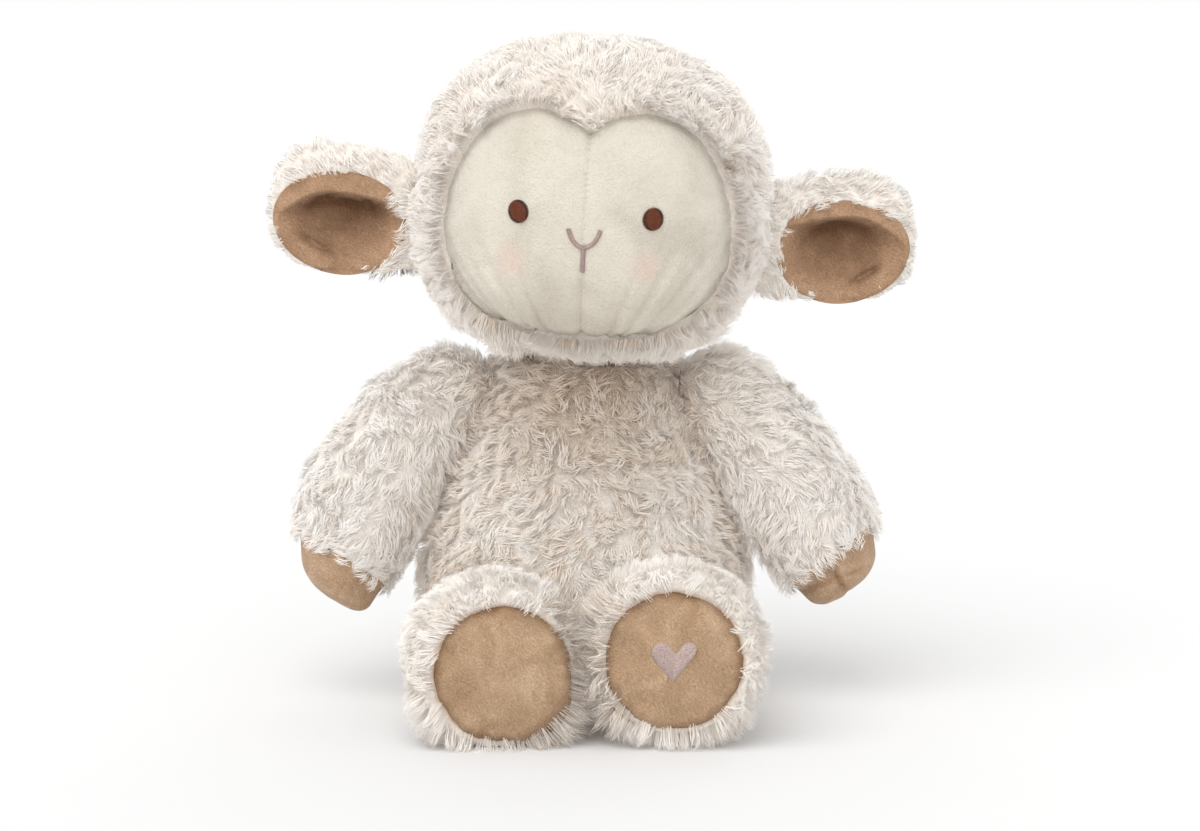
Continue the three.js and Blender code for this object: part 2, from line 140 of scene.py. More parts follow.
def catmull_rom(points, closed=False, per_span=24):
    """A curve through the points: in each span, the cubic whose slope at a point is half the step
    between that point's neighbours. Returns the curve's points, spaced evenly in each span."""
    points = np.asarray(points, float)
    if closed:
        ring = np.concatenate([points[-1:], points, points[:2]])
    else:
        ring = np.concatenate([points[:1], points, points[-1:]])
    before, start, end, after = ring[:-3], ring[1:-2], ring[2:-1], ring[3:]
    t = np.linspace(0, 1, per_span, endpoint=False)[:, None, None]
    leave = (end - before) / 2
    arrive = (after - start) / 2
    curve = (
        (2 * start - 2 * end + leave + arrive) * t ** 3
        + (3 * end - 3 * start - 2 * leave - arrive) * t ** 2
        + leave * t
        + start
    )
    curve = curve.transpose(1, 0, 2).reshape(-1, points.shape[1])
    return curve if closed else np.concatenate([curve, points[-1:]])


def unit(vectors):
    """Each vector divided by its length."""
    return vectors / np.maximum(np.linalg.norm(vectors, axis=-1, keepdims=True), 1e-9)


def standing(origin, direction, outward):
    """A place whose own Z runs along direction and whose own X is as near to outward as it can be."""
    along = unit(np.asarray(direction, float))
    outward = np.asarray(outward, float)
    across = unit(outward - along * (outward @ along))
    place = np.eye(4)
    place[:3, :3] = np.stack([across, np.cross(along, across), along], axis=1)
    place[:3, 3] = origin
    return place


def turned(axis, degrees):
    """A turn about one of the axes 0, 1 or 2, by the right-hand rule."""
    c, s = math.cos(math.radians(degrees)), math.sin(math.radians(degrees))
    first, second = (axis + 1) % 3, (axis + 2) % 3
    place = np.eye(4)
    place[first, first] = place[second, second] = c
    place[first, second], place[second, first] = -s, s
    return place


def moved(offset):
    """A shift without a turn."""
    place = np.eye(4)
    place[:3, 3] = offset
    return place


def carried(place, points):
    """Points taken from a place's own frame to the toy's."""
    return points @ place[:3, :3].T + place[:3, 3]


def smooth_step(low, high, value):
    """0 below low and 1 above high, and 3t^2 - 2t^3 between them."""
    t = np.clip((value - low) / (high - low), 0, 1)
    return t * t * (3 - 2 * t)


WAVELENGTHS = (0.7, 1.5)  # a ripple's shortest and longest wave, over its size


def ripple(points, size, seed, waves=7):
    """Smooth noise between about -1 and 1: the sum of sine waves in seeded directions,
    each with a wavelength near size."""
    rng = np.random.default_rng(seed)
    total = np.zeros(points.shape[:-1])
    for _ in range(waves):
        direction = unit(rng.normal(size=points.shape[-1]))
        length = size * rng.uniform(*WAVELENGTHS)
        total += np.sin(points @ direction * (2 * np.pi / length) + rng.uniform(0, 2 * np.pi))
    return total / math.sqrt(waves)


def waved(points, wave, seed):
    """Smooth noise of (size, weight)."""
    size, weight = wave
    return weight * ripple(points, size, seed)


def uneven_wave(turn, waves, sway, sways):
    """A sine wave with uneven crests: sin(waves t + sway sin(sways t))."""
    return np.sin(turn * waves + sway * np.sin(turn * sways))


def bell(value, width):
    """A bell curve: exp(-(value / width)^2)."""
    return np.exp(-(value / width) ** 2)


def bezier(start, bend, end, t):
    """A quadratic Bezier curve: start (1 - t)^2 + bend 2t (1 - t) + end t^2."""
    return start * (1 - t) ** 2 + bend * 2 * t * (1 - t) + end * t ** 2


def full_turn(count):
    """Evenly spaced angles round one turn."""
    return np.linspace(0, 2 * np.pi, count, endpoint=False)


def front_then_back(front, back, depth):
    """A column of 0 for each of the front's rings, and -depth for each ring behind."""
    return np.where(np.arange(front + back) < front, 0, -depth)[:, None]


def joined(rows):
    """The rows with the first and last drawn together to one point each."""
    rows[0], rows[-1] = rows[0].mean(0), rows[-1].mean(0)
    return rows


POLE_MARGIN = 4e-3  # normals nearer to a pole than this share of the length are taken here
FARTHEST = 40.0  # how many times further out a point may be pressed
HALVINGS = 26


class SoftForm:
    """A stuffed form. The point at turn u and station s is (half_width r cos u + 4 bow l (1 - l),
    half_depth r sin u, height l), where (r, l) is the smoothed outline's point at station s of its
    length. swell may then move points in the form's own frame, and place carries them to the toy's."""

    def __init__(self, size, shares, place, bow=0, swell=None):
        self.size, self.place, self.bow, self.swell = size, place, bow, swell
        outline = catmull_rom(shares)
        steps = np.linalg.norm(np.diff(outline * [size["half_width"], size["height"]], axis=0), axis=1)
        self.station = np.concatenate([[0], np.cumsum(steps)]) / steps.sum()
        self.radius = np.maximum(outline[:, 0], 0)
        self.level = np.maximum.accumulate(np.clip(outline[:, 1], 0, 1))

    def local(self, u, s):
        """Points in the form's own frame, by the formula above."""
        s = np.clip(s, 0, 1)
        r = np.interp(s, self.station, self.radius)
        l = np.interp(s, self.station, self.level)
        points = np.stack([
            self.size["half_width"] * r * np.cos(u) + 4 * self.bow * l * (1 - l),
            self.size["half_depth"] * r * np.sin(u),
            self.size["height"] * l + 0 * u,
        ], axis=-1)
        return self.swell(points) if self.swell else points

    def tangents(self, u, s, step=2e-3):
        """The steps of the surface across, per radian, and along, per unit of station."""
        across = (self.local(u + step, s) - self.local(u - step, s)) / (2 * step)
        low, high = np.clip(s - step, 0, 1), np.clip(s + step, 0, 1)
        along = (self.local(u, high) - self.local(u, low)) / (high - low)[..., None]
        turn = self.place[:3, :3].T
        return across @ turn, along @ turn

    def points(self, u, s, out=0.0):
        """Points in the toy's frame, moved outwards along the normal by out."""
        return carried(self.place, self.local(u, s)) + self.normals(u, s) * np.asarray(out)[..., None]

    def normals(self, u, s):
        """Unit normals: the crossed tangents, taken a little away from the poles."""
        s = np.clip(s, POLE_MARGIN, 1 - POLE_MARGIN)
        across, along = self.tangents(u, s)
        return unit(np.cross(across, along))

    def grid(self, around, rings, out=0.0):
        """A grid of turns and stations with its points: one row for each ring, poles at both ends."""
        u, s = np.broadcast_arrays(full_turn(around)[None, :], np.linspace(0, 1, rings)[:, None])
        return u, s, joined(self.points(u, s, out))

    def own(self, points):
        """Points of the toy's frame in the form's own frame, with its bow taken out."""
        own = (points - self.place[:3, 3]) @ self.place[:3, :3]
        l = np.clip(own[..., 2] / self.size["height"], 0, 1)
        own = own.copy()
        own[..., 0] -= 4 * self.bow * l * (1 - l)
        return own

    def at_level(self, values, level, **ends):
        """One of the outline's values where the outline reaches a level, a share of the height."""
        rising = np.concatenate([[True], np.diff(self.level) > 0])
        return np.interp(level, self.level[rising], values[rising], **ends)

    def inside(self, points, out=0.0):
        """Which points lie inside the form grown by out."""
        own = self.own(points)
        level = (own[..., 2] + out) / (self.size["height"] + 2 * out)
        r = self.at_level(self.radius, level, left=0, right=0)
        wide = own[..., 0] / (self.size["half_width"] + out)
        deep = own[..., 1] / (self.size["half_depth"] + out)
        return np.hypot(wide, deep) < r

    def press_out(self, points, out):
        """Points inside the form, grown by out, pushed away from its middle until they reach its
        surface, which is found by halving."""
        flat = points.reshape(-1, 3)
        within = self.inside(flat, out)
        if not within.any():
            return points
        middle = self.place[:3, 3] + self.place[:3, 2] * self.size["height"] / 2
        rays = flat[within] - middle
        low, high = np.ones(len(rays)), np.full(len(rays), FARTHEST)
        for _ in range(HALVINGS):
            half = (low + high) / 2
            still = self.inside(middle + rays * half[:, None], out)
            low, high = np.where(still, half, low), np.where(still, high, half)
        pressed = flat.copy()
        pressed[within] = middle + rays * high[:, None]
        return pressed.reshape(points.shape)


SHADE_LAYER = "hollow_shade"  # the attribute that holds how much painted shade each point of a skin gets
STRAND_MAP = "OFBake"


def bare_object(name, mesh, slots):
    """An object at the origin that holds mesh, with its materials."""
    for look in slots:
        mesh.materials.append(look)
    made = bpy.data.objects.new(name, mesh)
    bpy.context.scene.collection.objects.link(made)
    return made


def closed_skin(name, rows, look, shade=None):
    """A closed skin from a grid of rows of points, whose first and last rows are single points.
    Quads join the rows, triangles close the poles, and the faces are turned to face outwards.
    shade, from 0 to 1 at each point of the grid, is kept for the look as painted shade."""
    count, around = rows.shape[:2]
    points = np.concatenate([rows[0, :1], rows[1:-1].reshape(-1, 3), rows[-1, :1]]) * MM
    ring = np.arange(around)
    after = (ring + 1) % around
    first = 1 + np.arange(count - 3)[:, None] * around
    quads = np.stack([first + ring, first + after, first + around + after, first + around + ring], -1)
    quads = quads.reshape(-1, 4)
    last = 1 + (count - 3) * around
    caps = np.concatenate([
        np.stack([np.zeros_like(ring), 1 + after, 1 + ring], -1),
        np.stack([np.full_like(ring, len(points) - 1), last + ring, last + after], -1),
    ])
    corners = np.concatenate([quads[:, [0, 1, 2]], quads[:, [0, 2, 3]], caps])
    a, b, c = (points[corners[:, i]] for i in range(3))
    if np.einsum("ij,ij->i", a, np.cross(b, c)).sum() < 0:
        quads, caps = quads[:, ::-1], caps[:, ::-1]
    mesh = bpy.data.meshes.new(name)
    mesh.from_pydata(points.tolist(), [], quads.tolist() + caps.tolist())
    mesh.polygons.foreach_set("use_smooth", np.ones(len(mesh.polygons), bool))
    if shade is not None:
        shade = np.broadcast_to(shade, rows.shape[:2])
        layer = mesh.attributes.new(SHADE_LAYER, "FLOAT", "POINT")
        layer.data.foreach_set("value", np.concatenate(
            [shade[0, :1], shade[1:-1].ravel(), shade[-1, :1]]).astype(np.float32))
    mesh.update()
    return bare_object(name, mesh, [look])


def triangle_mesh(name, points, corners, look, uv=None, normals=None):
    """A mesh of triangles from arrays of points, corner numbers, and each corner's UV place and
    shading normal."""
    mesh = bpy.data.meshes.new(name)
    mesh.vertices.add(len(points))
    mesh.vertices.foreach_set("co", (points * MM).astype(np.float32).ravel())
    mesh.loops.add(corners.size)
    mesh.loops.foreach_set("vertex_index", corners.astype(np.int32).ravel())
    mesh.polygons.add(len(corners))
    mesh.polygons.foreach_set("loop_start", np.arange(0, corners.size, 3, dtype=np.int32))
    mesh.update(calc_edges=True)
    mesh.polygons.foreach_set("use_smooth", np.ones(len(corners), bool))
    if uv is not None:
        layer = mesh.uv_layers.new(name=STRAND_MAP)
        layer.data.foreach_set("uv", uv.astype(np.float32).ravel())
    mesh.update()
    if normals is not None:
        layer = mesh.attributes.new("custom_normal", "FLOAT_VECTOR", "CORNER")
        layer.data.foreach_set("vector", normals.astype(np.float32).ravel())
    return bare_object(name, mesh, [look])


# A strand has three sides: a ridge away from the skin, and two lower edges
STRAND_SIDES = 3
STRAND_FLATNESS = 0.45  # a strand's height over its width
RIDGE_SHARE = 1.3
LOWER_EDGE_SHARE = 0.65
OWN_NORMAL_SHARE = 0.14  # how far a strand shades by its own roundness
UNDER_NORMAL_SHARE = 0.5  # how far a strand's under side shades as one that faces down
SKY_NORMAL = np.array([0, 0, 0.35])  # fur shades as if its skin leant a little to the sky

# Places in the strands' UV map: from a margin on, over a span
TONE_MARGIN, TONE_SPAN = 0.03, 0.9
LENGTH_MARGIN, LENGTH_SPAN = 0.02, 0.96
SIDE_STEP = 0.012  # from one side of a strand to the next
CAP_STEP = 0.1  # gives the root's cap an area in the map


def end_cap(sides):
    """The triangles that close a tube's first ring, as a fan from its first corner."""
    return np.stack([np.zeros(sides - 2, int), np.arange(2, sides), np.arange(1, sides - 1)], -1)


def tapered(paths, widths, tones, skin_normals):
    """Closed tapered strands along paths, an array of strands by stations by 3. Each ring is a low
    triangle with its ridge away from the skin, the last station is the strand's point, and the
    root is capped. A corner's UV place is (the strand's tone, the share of its length). The two
    upper sides shade by a normal between their own spoke and the skin's normal, so that the pile
    shades as one coat, and the under side by one that also turns away from the ridge."""
    count, stations = paths.shape[:2]
    sides = STRAND_SIDES
    chord = unit(paths[:, -1] - paths[:, 0])
    across = unit(np.cross(chord, skin_normals + 1e-3))
    ridge = np.cross(across, chord) * STRAND_FLATNESS
    lower = ridge * LOWER_EDGE_SHARE
    spokes = np.stack([ridge * RIDGE_SHARE, across - lower, -across - lower], axis=1)
    rings = paths[:, :-1, None] + spokes[:, None] * (widths[:, :-1, None, None] / 2)
    points = np.concatenate([rings.reshape(count, -1, 3), paths[:, -1:]], axis=1)
    per_strand = points.shape[1]
    own = np.broadcast_to(unit(spokes)[:, None], rings.shape).reshape(count, -1, 3)
    own = np.concatenate([own, chord[:, None]], axis=1)
    upper = unit(own * OWN_NORMAL_SHARE + skin_normals[:, None] * (1 - OWN_NORMAL_SHARE))
    under = unit(skin_normals - unit(ridge) * UNDER_NORMAL_SHARE)

    side = np.arange(sides)
    after = (side + 1) % sides
    corners, u_steps, v_steps = [], [], []
    for ring in range(stations - 2):
        low, high = ring * sides, (ring + 1) * sides
        corners += [
            np.stack([low + side, low + after, high + after], -1),
            np.stack([low + side, high + after, high + side], -1),
        ]
        u_steps += [np.stack([side, side + 1, side + 1], -1), np.stack([side, side + 1, side], -1)]
        v_steps += [
            np.tile([ring, ring, ring + 1], (sides, 1)),
            np.tile([ring, ring + 1, ring + 1], (sides, 1)),
        ]
    low = (stations - 2) * sides
    tip = per_strand - 1
    corners.append(np.stack([low + side, low + after, np.full(sides, tip)], -1))
    u_steps.append(np.stack([side, side + 1, side + 0.5], -1))
    v_steps.append(np.tile([stations - 2, stations - 2, stations - 1], (sides, 1)))
    root = end_cap(sides)
    corners.append(root)
    u_steps.append(root.astype(float))
    v_steps.append(np.zeros_like(root) + (root == root[:, :1]) * CAP_STEP)
    is_under = np.concatenate([side == 1] * (2 * (stations - 2) + 1) + [np.ones(sides - 2, bool)])
    corners = np.concatenate(corners)
    u_steps, v_steps = np.concatenate(u_steps), np.concatenate(v_steps)
    normals = upper[:, corners]
    normals[:, is_under] = under[:, None, None]

    all_corners = np.arange(count)[:, None, None] * per_strand + corners
    u = TONE_MARGIN + tones[:, None, None] * TONE_SPAN + u_steps * SIDE_STEP
    v = np.broadcast_to(LENGTH_MARGIN + LENGTH_SPAN * v_steps / (stations - 1), u.shape)
    uv = np.stack([u, v], -1).reshape(-1, 2)
    return points.reshape(-1, 3), all_corners.reshape(-1, 3), uv, normals.reshape(-1, 3)


SPREAD_AROUND, SPREAD_RINGS = 240, 160  # the cells over which a pile's roots are spread
POLE_CLEAR = 0.002  # no root stands nearer to a pole than this share of the length


def spread(form, count, rng, allowed):
    """Turns and stations of count places, spread evenly by area over where allowed says so:
    even steps along the running total of the small areas, each shifted at random inside its cell."""
    u_edges = np.linspace(0, 2 * np.pi, SPREAD_AROUND + 1)
    s_edges = np.linspace(POLE_CLEAR, 1 - POLE_CLEAR, SPREAD_RINGS + 1)
    u, s = np.meshgrid((u_edges[:-1] + u_edges[1:]) / 2, (s_edges[:-1] + s_edges[1:]) / 2)
    across, along = form.tangents(u, s)
    area = np.linalg.norm(np.cross(across, along), axis=-1)
    area = area * allowed(form.points(u, s))
    total = np.cumsum(area)
    picks = (np.arange(count) + rng.uniform(0, 1, count)) / count * total[-1]
    cell = np.minimum(np.searchsorted(total, picks), area.size - 1)
    row, column = np.divmod(cell, SPREAD_AROUND)
    u = u_edges[column] + rng.uniform(0, 1, count) * (2 * np.pi / SPREAD_AROUND)
    s = s_edges[row] + rng.uniform(0, 1, count) * (s_edges[1] - s_edges[0])
    return u, s


def nearest(points, places):
    """The number of the place that lies nearest to each point."""
    return np.argmin((places ** 2).sum(-1) - 2 * points @ places.T, axis=1)


# How a pile varies from tuft to tuft: ripples of (size in mm, weight), and a random part
SWING_RIPPLES = ((34, 0.8), (13, 0.5))
SWING_RANDOM = 0.45
RISE_RIPPLE = (17, 0.16)
RISE_RANDOM = 0.1
RISE_LIMITS = (0.08, 0.98)
LENGTH_RIPPLE = (21, 0.14)
LENGTH_RANDOM = 0.1
MEAN_TONE = 0.5
TONE_RIPPLE = (26, 0.14)
TONE_RANDOM = 0.1
LOCK_TONE_RANDOM = 0.13
LOCK_LIFT = 0.12  # a lock's tip stands over its tufts' mean tip by this share of the length

# How a tuft's strands vary, as shares from lowest to highest, and how they bend
STRAND_LENGTHS = (0.72, 1.12)
STRAND_PULLS = (0.6, 1.1)
STRAND_WIDTHS = (0.75, 1.25)
STRAND_JITTER = 0.16
STRAND_TONE_RANDOM = 0.13
BEND_UP, BEND_ALONG = 0.5, 0.18  # where the bend lies: up the skin's normal, and along the strand
STATION_SHARES = np.array([0, 0.55, 1.0])
STATION_WIDTHS = np.array([1.0, 0.85, 0])
CRIMP_TURN = 4  # radians of sideways wave along a strand
LEAST_STEP = 4  # a radian, or the whole length, counts as at least so many mm near a pole


def pile(names, form, body, *, tufts, per_tuft, length, width, lift, nap, tousle, gather,
         allowed, look, seed, reach=2.2, crimp=0.5, base=-2.0, shaped=None, part_of=None, trim=None,
         per_lock=9, lock_pull=0.4, tilt=None, hollow=None):
    """Pile of fur as tufts of strands. A tuft's strands stand round its root within reach, and each bends
    from the skin's normal towards the tuft's lean, which is the nap laid on the skin and turned by noise
    times tousle. A strand's line is a quadratic Bezier curve whose tip is drawn to the tuft's tip by
    gather, with a sideways wave of crimp. Neighbouring tufts form locks, and lock_pull draws their tips to
    the mean of the lock's. trim gives each tuft's share of the length and what its lift gains, part_of
    shares the strands out between the names, tilt is added to the normals that the strands shade by, and
    hollow, from 0 to 1, lowers the tone of tufts that stand in a crease between two forms, as painted shade
    in the crease."""
    rng = np.random.default_rng(seed)
    u0, s0 = spread(form, tufts, rng, allowed)
    tuft_root, tuft_normal = form.points(u0, s0, base), form.normals(u0, s0)
    flow = nap(tuft_root)
    flow = flow - tuft_normal * (flow * tuft_normal).sum(-1, keepdims=True)
    flow = unit(flow + 1e-4)
    side = np.cross(tuft_normal, flow)
    broad, fine = SWING_RIPPLES
    swing = tousle * (
        waved(tuft_root, broad, seed + 1)
        + waved(tuft_root, fine, seed + 2)
        + SWING_RANDOM * rng.normal(size=tufts)
    )
    lean = flow * np.cos(swing)[:, None] + side * np.sin(swing)[:, None]
    length_share, more_lift = trim(tuft_root) if trim else (1, 0)
    rise = lift + more_lift + waved(tuft_root, RISE_RIPPLE, seed + 3) + RISE_RANDOM * rng.normal(size=tufts)
    rise = np.clip(rise, *RISE_LIMITS)
    heading = unit(tuft_normal * rise[:, None] + lean * np.sqrt(1 - rise ** 2)[:, None])
    grown = 1 + waved(tuft_root, LENGTH_RIPPLE, seed + 4) + LENGTH_RANDOM * rng.normal(size=tufts)
    grown = length * grown * length_share
    tuft_tip = tuft_root + heading * grown[:, None]

    locks = tufts // per_lock
    lock_root = form.points(*spread(form, locks, rng, allowed), base)
    lock = nearest(tuft_root, lock_root)
    members = np.maximum(np.bincount(lock, minlength=locks), 1)[:, None]
    middle = np.stack([np.bincount(lock, tuft_tip[:, i], locks) for i in range(3)], -1) / members
    lock_tip = middle[lock] + tuft_normal * LOCK_LIFT * length
    lock_tone = LOCK_TONE_RANDOM * rng.normal(size=locks)[lock]
    tuft_tone = MEAN_TONE + waved(tuft_root, TONE_RIPPLE, seed + 5) + TONE_RANDOM * rng.normal(size=tufts)
    tuft_tone = np.clip(tuft_tone + lock_tone, 0, 1)
    if hollow:
        tuft_tone = tuft_tone * (1 - hollow(tuft_root))

    shape = (tufts, per_tuft)
    across, along = form.tangents(u0, s0)
    turn = rng.uniform(0, 2 * np.pi, shape)
    away = reach * np.sqrt(rng.uniform(0, 1, shape))
    per_radian = np.maximum(np.linalg.norm(across, axis=-1), LEAST_STEP)[:, None]
    per_station = np.maximum(np.linalg.norm(along, axis=-1), LEAST_STEP)[:, None]
    u = u0[:, None] + away * np.cos(turn) / per_radian
    s = np.clip(s0[:, None] + away * np.sin(turn) / per_station, POLE_CLEAR, 1 - POLE_CLEAR)
    root, normal = form.points(u, s, base), form.normals(u, s)
    own = grown[:, None] * rng.uniform(*STRAND_LENGTHS, shape)
    jitter = rng.normal(size=shape + (3,)) * STRAND_JITTER
    leaning = (heading - tuft_normal * rise[:, None])[:, None]
    own_heading = unit(normal * rise[:, None, None] + leaning + jitter)
    tip = root + own_heading * own[..., None]
    pull = gather * rng.uniform(*STRAND_PULLS, shape)[..., None]
    ripe = np.clip(own / grown[:, None], 0, 1)[..., None]
    tip = tip + (tuft_tip[:, None] - tip) * pull * ripe
    tip = tip + (lock_tip[:, None] - tip) * lock_pull * ripe
    bend = root + (normal * BEND_UP + own_heading * BEND_ALONG) * own[..., None]
    wave_side = unit(np.cross(own_heading, normal) + 1e-4)
    phase = rng.uniform(0, 2 * np.pi, shape)

    t = STATION_SHARES[None, None, :, None]
    line = bezier(root[:, :, None], bend[:, :, None], tip[:, :, None], t)
    sway = crimp * np.sin(phase[..., None] + STATION_SHARES * CRIMP_TURN) * STATION_SHARES
    line = line + wave_side[:, :, None] * sway[..., None]
    if shaped:
        line = shaped(line)
    paths = line.reshape(-1, len(STATION_SHARES), 3)
    thick = width * rng.uniform(*STRAND_WIDTHS, len(paths))[:, None] * STATION_WIDTHS
    tone = np.clip(tuft_tone[:, None] + STRAND_TONE_RANDOM * rng.normal(size=shape), 0, 1).ravel()

    skin_normals = normal.reshape(-1, 3) + SKY_NORMAL
    if tilt:
        skin_normals = skin_normals + tilt(root.reshape(-1, 3))
    skin_normals = unit(skin_normals)
    owner = part_of(paths[:, 0]) if part_of else np.zeros(len(paths), int)
    for i, name in enumerate(names):
        mine = owner == i
        points, corners, uv, normals = tapered(paths[mine], thick[mine], tone[mine], skin_normals[mine])
        piece = triangle_mesh(name, points, corners, look, uv, normals)
        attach(piece, body)


STITCH_SINK_SHARE = 0.35  # the width of a thread's two ends, over its own


def satin(name, starts, ends, normals, rise, thread, look, rings=7, sides=6):
    """Satin stitches: each is a thread from start to end that arches rise above the cloth as the
    square root of a sine, with both ends sunk in it. All are one mesh of closed round tubes."""
    t = np.linspace(0, 1, rings)
    arch = np.sqrt(np.sin(np.pi * t).clip(0)) * (rise + thread / 2) - thread / 2
    line = (
        starts[:, None] + (ends - starts)[:, None] * t[None, :, None]
        + normals[:, None] * arch[None, :, None]
    )
    along = unit(ends - starts)
    across = unit(np.cross(normals, along))
    side = np.arange(sides)
    turns = side * 2 * np.pi / sides
    spokes = (
        across[:, None] * np.cos(turns)[None, :, None] + normals[:, None] * np.sin(turns)[None, :, None]
    )
    width = np.where((t > 0) & (t < 1), 1.0, STITCH_SINK_SHARE) * thread / 2
    points = (line[:, :, None] + spokes[:, None] * width[None, :, None, None]).reshape(-1, 3)
    after = (side + 1) % sides
    low = np.arange(rings - 1)[:, None] * sides
    cap = end_cap(sides)
    corners = np.concatenate([
        np.stack([low + side, low + after, low + sides + after], -1).reshape(-1, 3),
        np.stack([low + side, low + sides + after, low + sides + side], -1).reshape(-1, 3),
        cap,
        cap[:, [0, 2, 1]] + (rings - 1) * sides,
    ])
    a, b, c = (points[corners[:, i]] for i in range(3))
    if ((a - line[0].mean(0)) * np.cross(b - a, c - a)).sum() < 0:
        corners = corners[:, ::-1]
    corners = (np.arange(len(starts))[:, None, None] * rings * sides + corners).reshape(-1, 3)
    return triangle_mesh(name, points, corners, look)


# Materials

def new_look(name, **constants):
    """A node material with the shader's own constants set, and its tree and shader."""
    look = bpy.data.materials.new(name)
    look.use_nodes = True
    shader = look.node_tree.nodes["Principled BSDF"]
    for socket, value in constants.items():
        shader.inputs[socket.replace("_", " ")].default_value = value
    return look, look.node_tree, shader


def ramp(tree, factor, stops):
    """A colour ramp on factor, with stops of (place, colour)."""
    node = tree.nodes.new("ShaderNodeValToRGB")
    elements = node.color_ramp.elements
    while len(elements) < len(stops):
        elements.new(0.5)
    for element, (place, colour) in zip(elements, stops):
        element.position = place
        element.color = (*srgb(colour), 1)
    tree.links.new(factor, node.inputs["Fac"])
    return node.outputs["Color"]


def srgb(colour):
    """A colour given in 0..255 steps of sRGB, as linear light."""
    share = np.array(colour, float) / 255
    return np.where(share <= 0.04045, share / 12.92, ((share + 0.055) / 1.055) ** 2.4).tolist()


def link_or_set(tree, socket, value):
    """A socket fed by another socket, or set to a number or colour."""
    if isinstance(value, bpy.types.NodeSocket):
        tree.links.new(value, socket)
    else:
        socket.default_value = value if isinstance(value, (int, float)) else (*value, 1)


def mixed(tree, kind, factor, first, second):
    """Two colours mixed by kind. A factor or colour is a socket, or a constant."""
    node = tree.nodes.new("ShaderNodeMix")
    node.data_type = "RGBA"
    node.blend_type = kind
    for place, value in ((0, factor), (6, first), (7, second)):
        link_or_set(tree, node.inputs[place], value)
    return node.outputs[2]


def arithmetic(tree, kind, first, second):
    """One sum of two values, each a socket or a number."""
    node = tree.nodes.new("ShaderNodeMath")
    node.operation = kind
    for socket, value in zip(node.inputs, (first, second)):
        link_or_set(tree, socket, value)
    return node.outputs[0]


def weighted(tree, *terms):
    """The sum of values times their weights, given as (value, weight)."""
    total, *others = [arithmetic(tree, "MULTIPLY", value, weight) for value, weight in terms]
    for other in others:
        total = arithmetic(tree, "ADD", total, other)
    return total


def noise(tree, coordinates, per_metre, detail=2.0, roughness=0.5, distortion=0.0):
    """Noise with so many cells to the metre."""
    node = tree.nodes.new("ShaderNodeTexNoise")
    node.inputs["Scale"].default_value = per_metre
    node.inputs["Detail"].default_value = detail
    node.inputs["Roughness"].default_value = roughness
    node.inputs["Distortion"].default_value = distortion
    tree.links.new(coordinates, node.inputs["Vector"])
    return node.outputs["Fac"]


def object_coordinates(tree):
    """The surface's place in the toy's frame, in metres."""
    return tree.nodes.new("ShaderNodeTexCoord").outputs["Object"]


def bumped(tree, shader, height, strength, distance):
    """A bump of the shader's normal by height, a share of distance in metres."""
    node = tree.nodes.new("ShaderNodeBump")
    node.inputs["Strength"].default_value = strength
    node.inputs["Distance"].default_value = distance
    tree.links.new(height, node.inputs["Height"])
    tree.links.new(node.outputs["Normal"], shader.inputs["Normal"])


def distance_from(tree, middle):
    """How far the surface lies from a point, given in millimetres."""
    away = tree.nodes.new("ShaderNodeVectorMath")
    away.operation = "DISTANCE"
    tree.links.new(object_coordinates(tree), away.inputs[0])
    away.inputs[1].default_value = [value * MM for value in middle]
    return away.outputs["Value"]


def mapped(tree, value, start, end, low=0.0, high=1.0, kind="LINEAR"):
    """A value between start and end carried to between low and high."""
    node = tree.nodes.new("ShaderNodeMapRange")
    node.interpolation_type = kind
    for socket, constant in (("From Min", start), ("From Max", end), ("To Min", low), ("To Max", high)):
        node.inputs[socket].default_value = constant
    tree.links.new(value, node.inputs["Value"])
    return node.outputs["Result"]


# Painted shadow of the head on the breast under the chin: full within the near distance of its middle, and
# none past the far one
CHIN_SHADOW_MIDDLE = (0, -60, 172)
CHIN_SHADOW_NEAR = 44
CHIN_SHADOW_FAR = 106


def chin_shadow(tree):
    """1 on the breast under the chin, where the pile's colour holds the head's painted shadow, and 0 far
    from it.
    """
    return mapped(tree, distance_from(tree, CHIN_SHADOW_MIDDLE), CHIN_SHADOW_FAR * MM, CHIN_SHADOW_NEAR * MM)


FIBRE_GLOW = (255, 243, 231)  # the colour of the painted glow that stands for the light thin fibres pass on
EDGE_GLOW = 0.46  # how much stronger the painted glow is where a strand is seen edge on, a painted rim light
EDGE_POWER = 2.5
LENGTH_STOPS = (0.0, 0.4, 0.85)  # where a strand's root, middle and tip colours lie
# By tone, which is 0 in the deepest crease: what the colour and the glow are multiplied by. The lowest
# stops are painted shade in a crease, on the colour and on the painted glow.
PAINTED_CREASE_SHADE = (186, 166, 148)
PLAIN_TONE = (244, 242, 239)
CREASE_LIGHT = (110, 110, 110)
WHITE = (255, 255, 255)


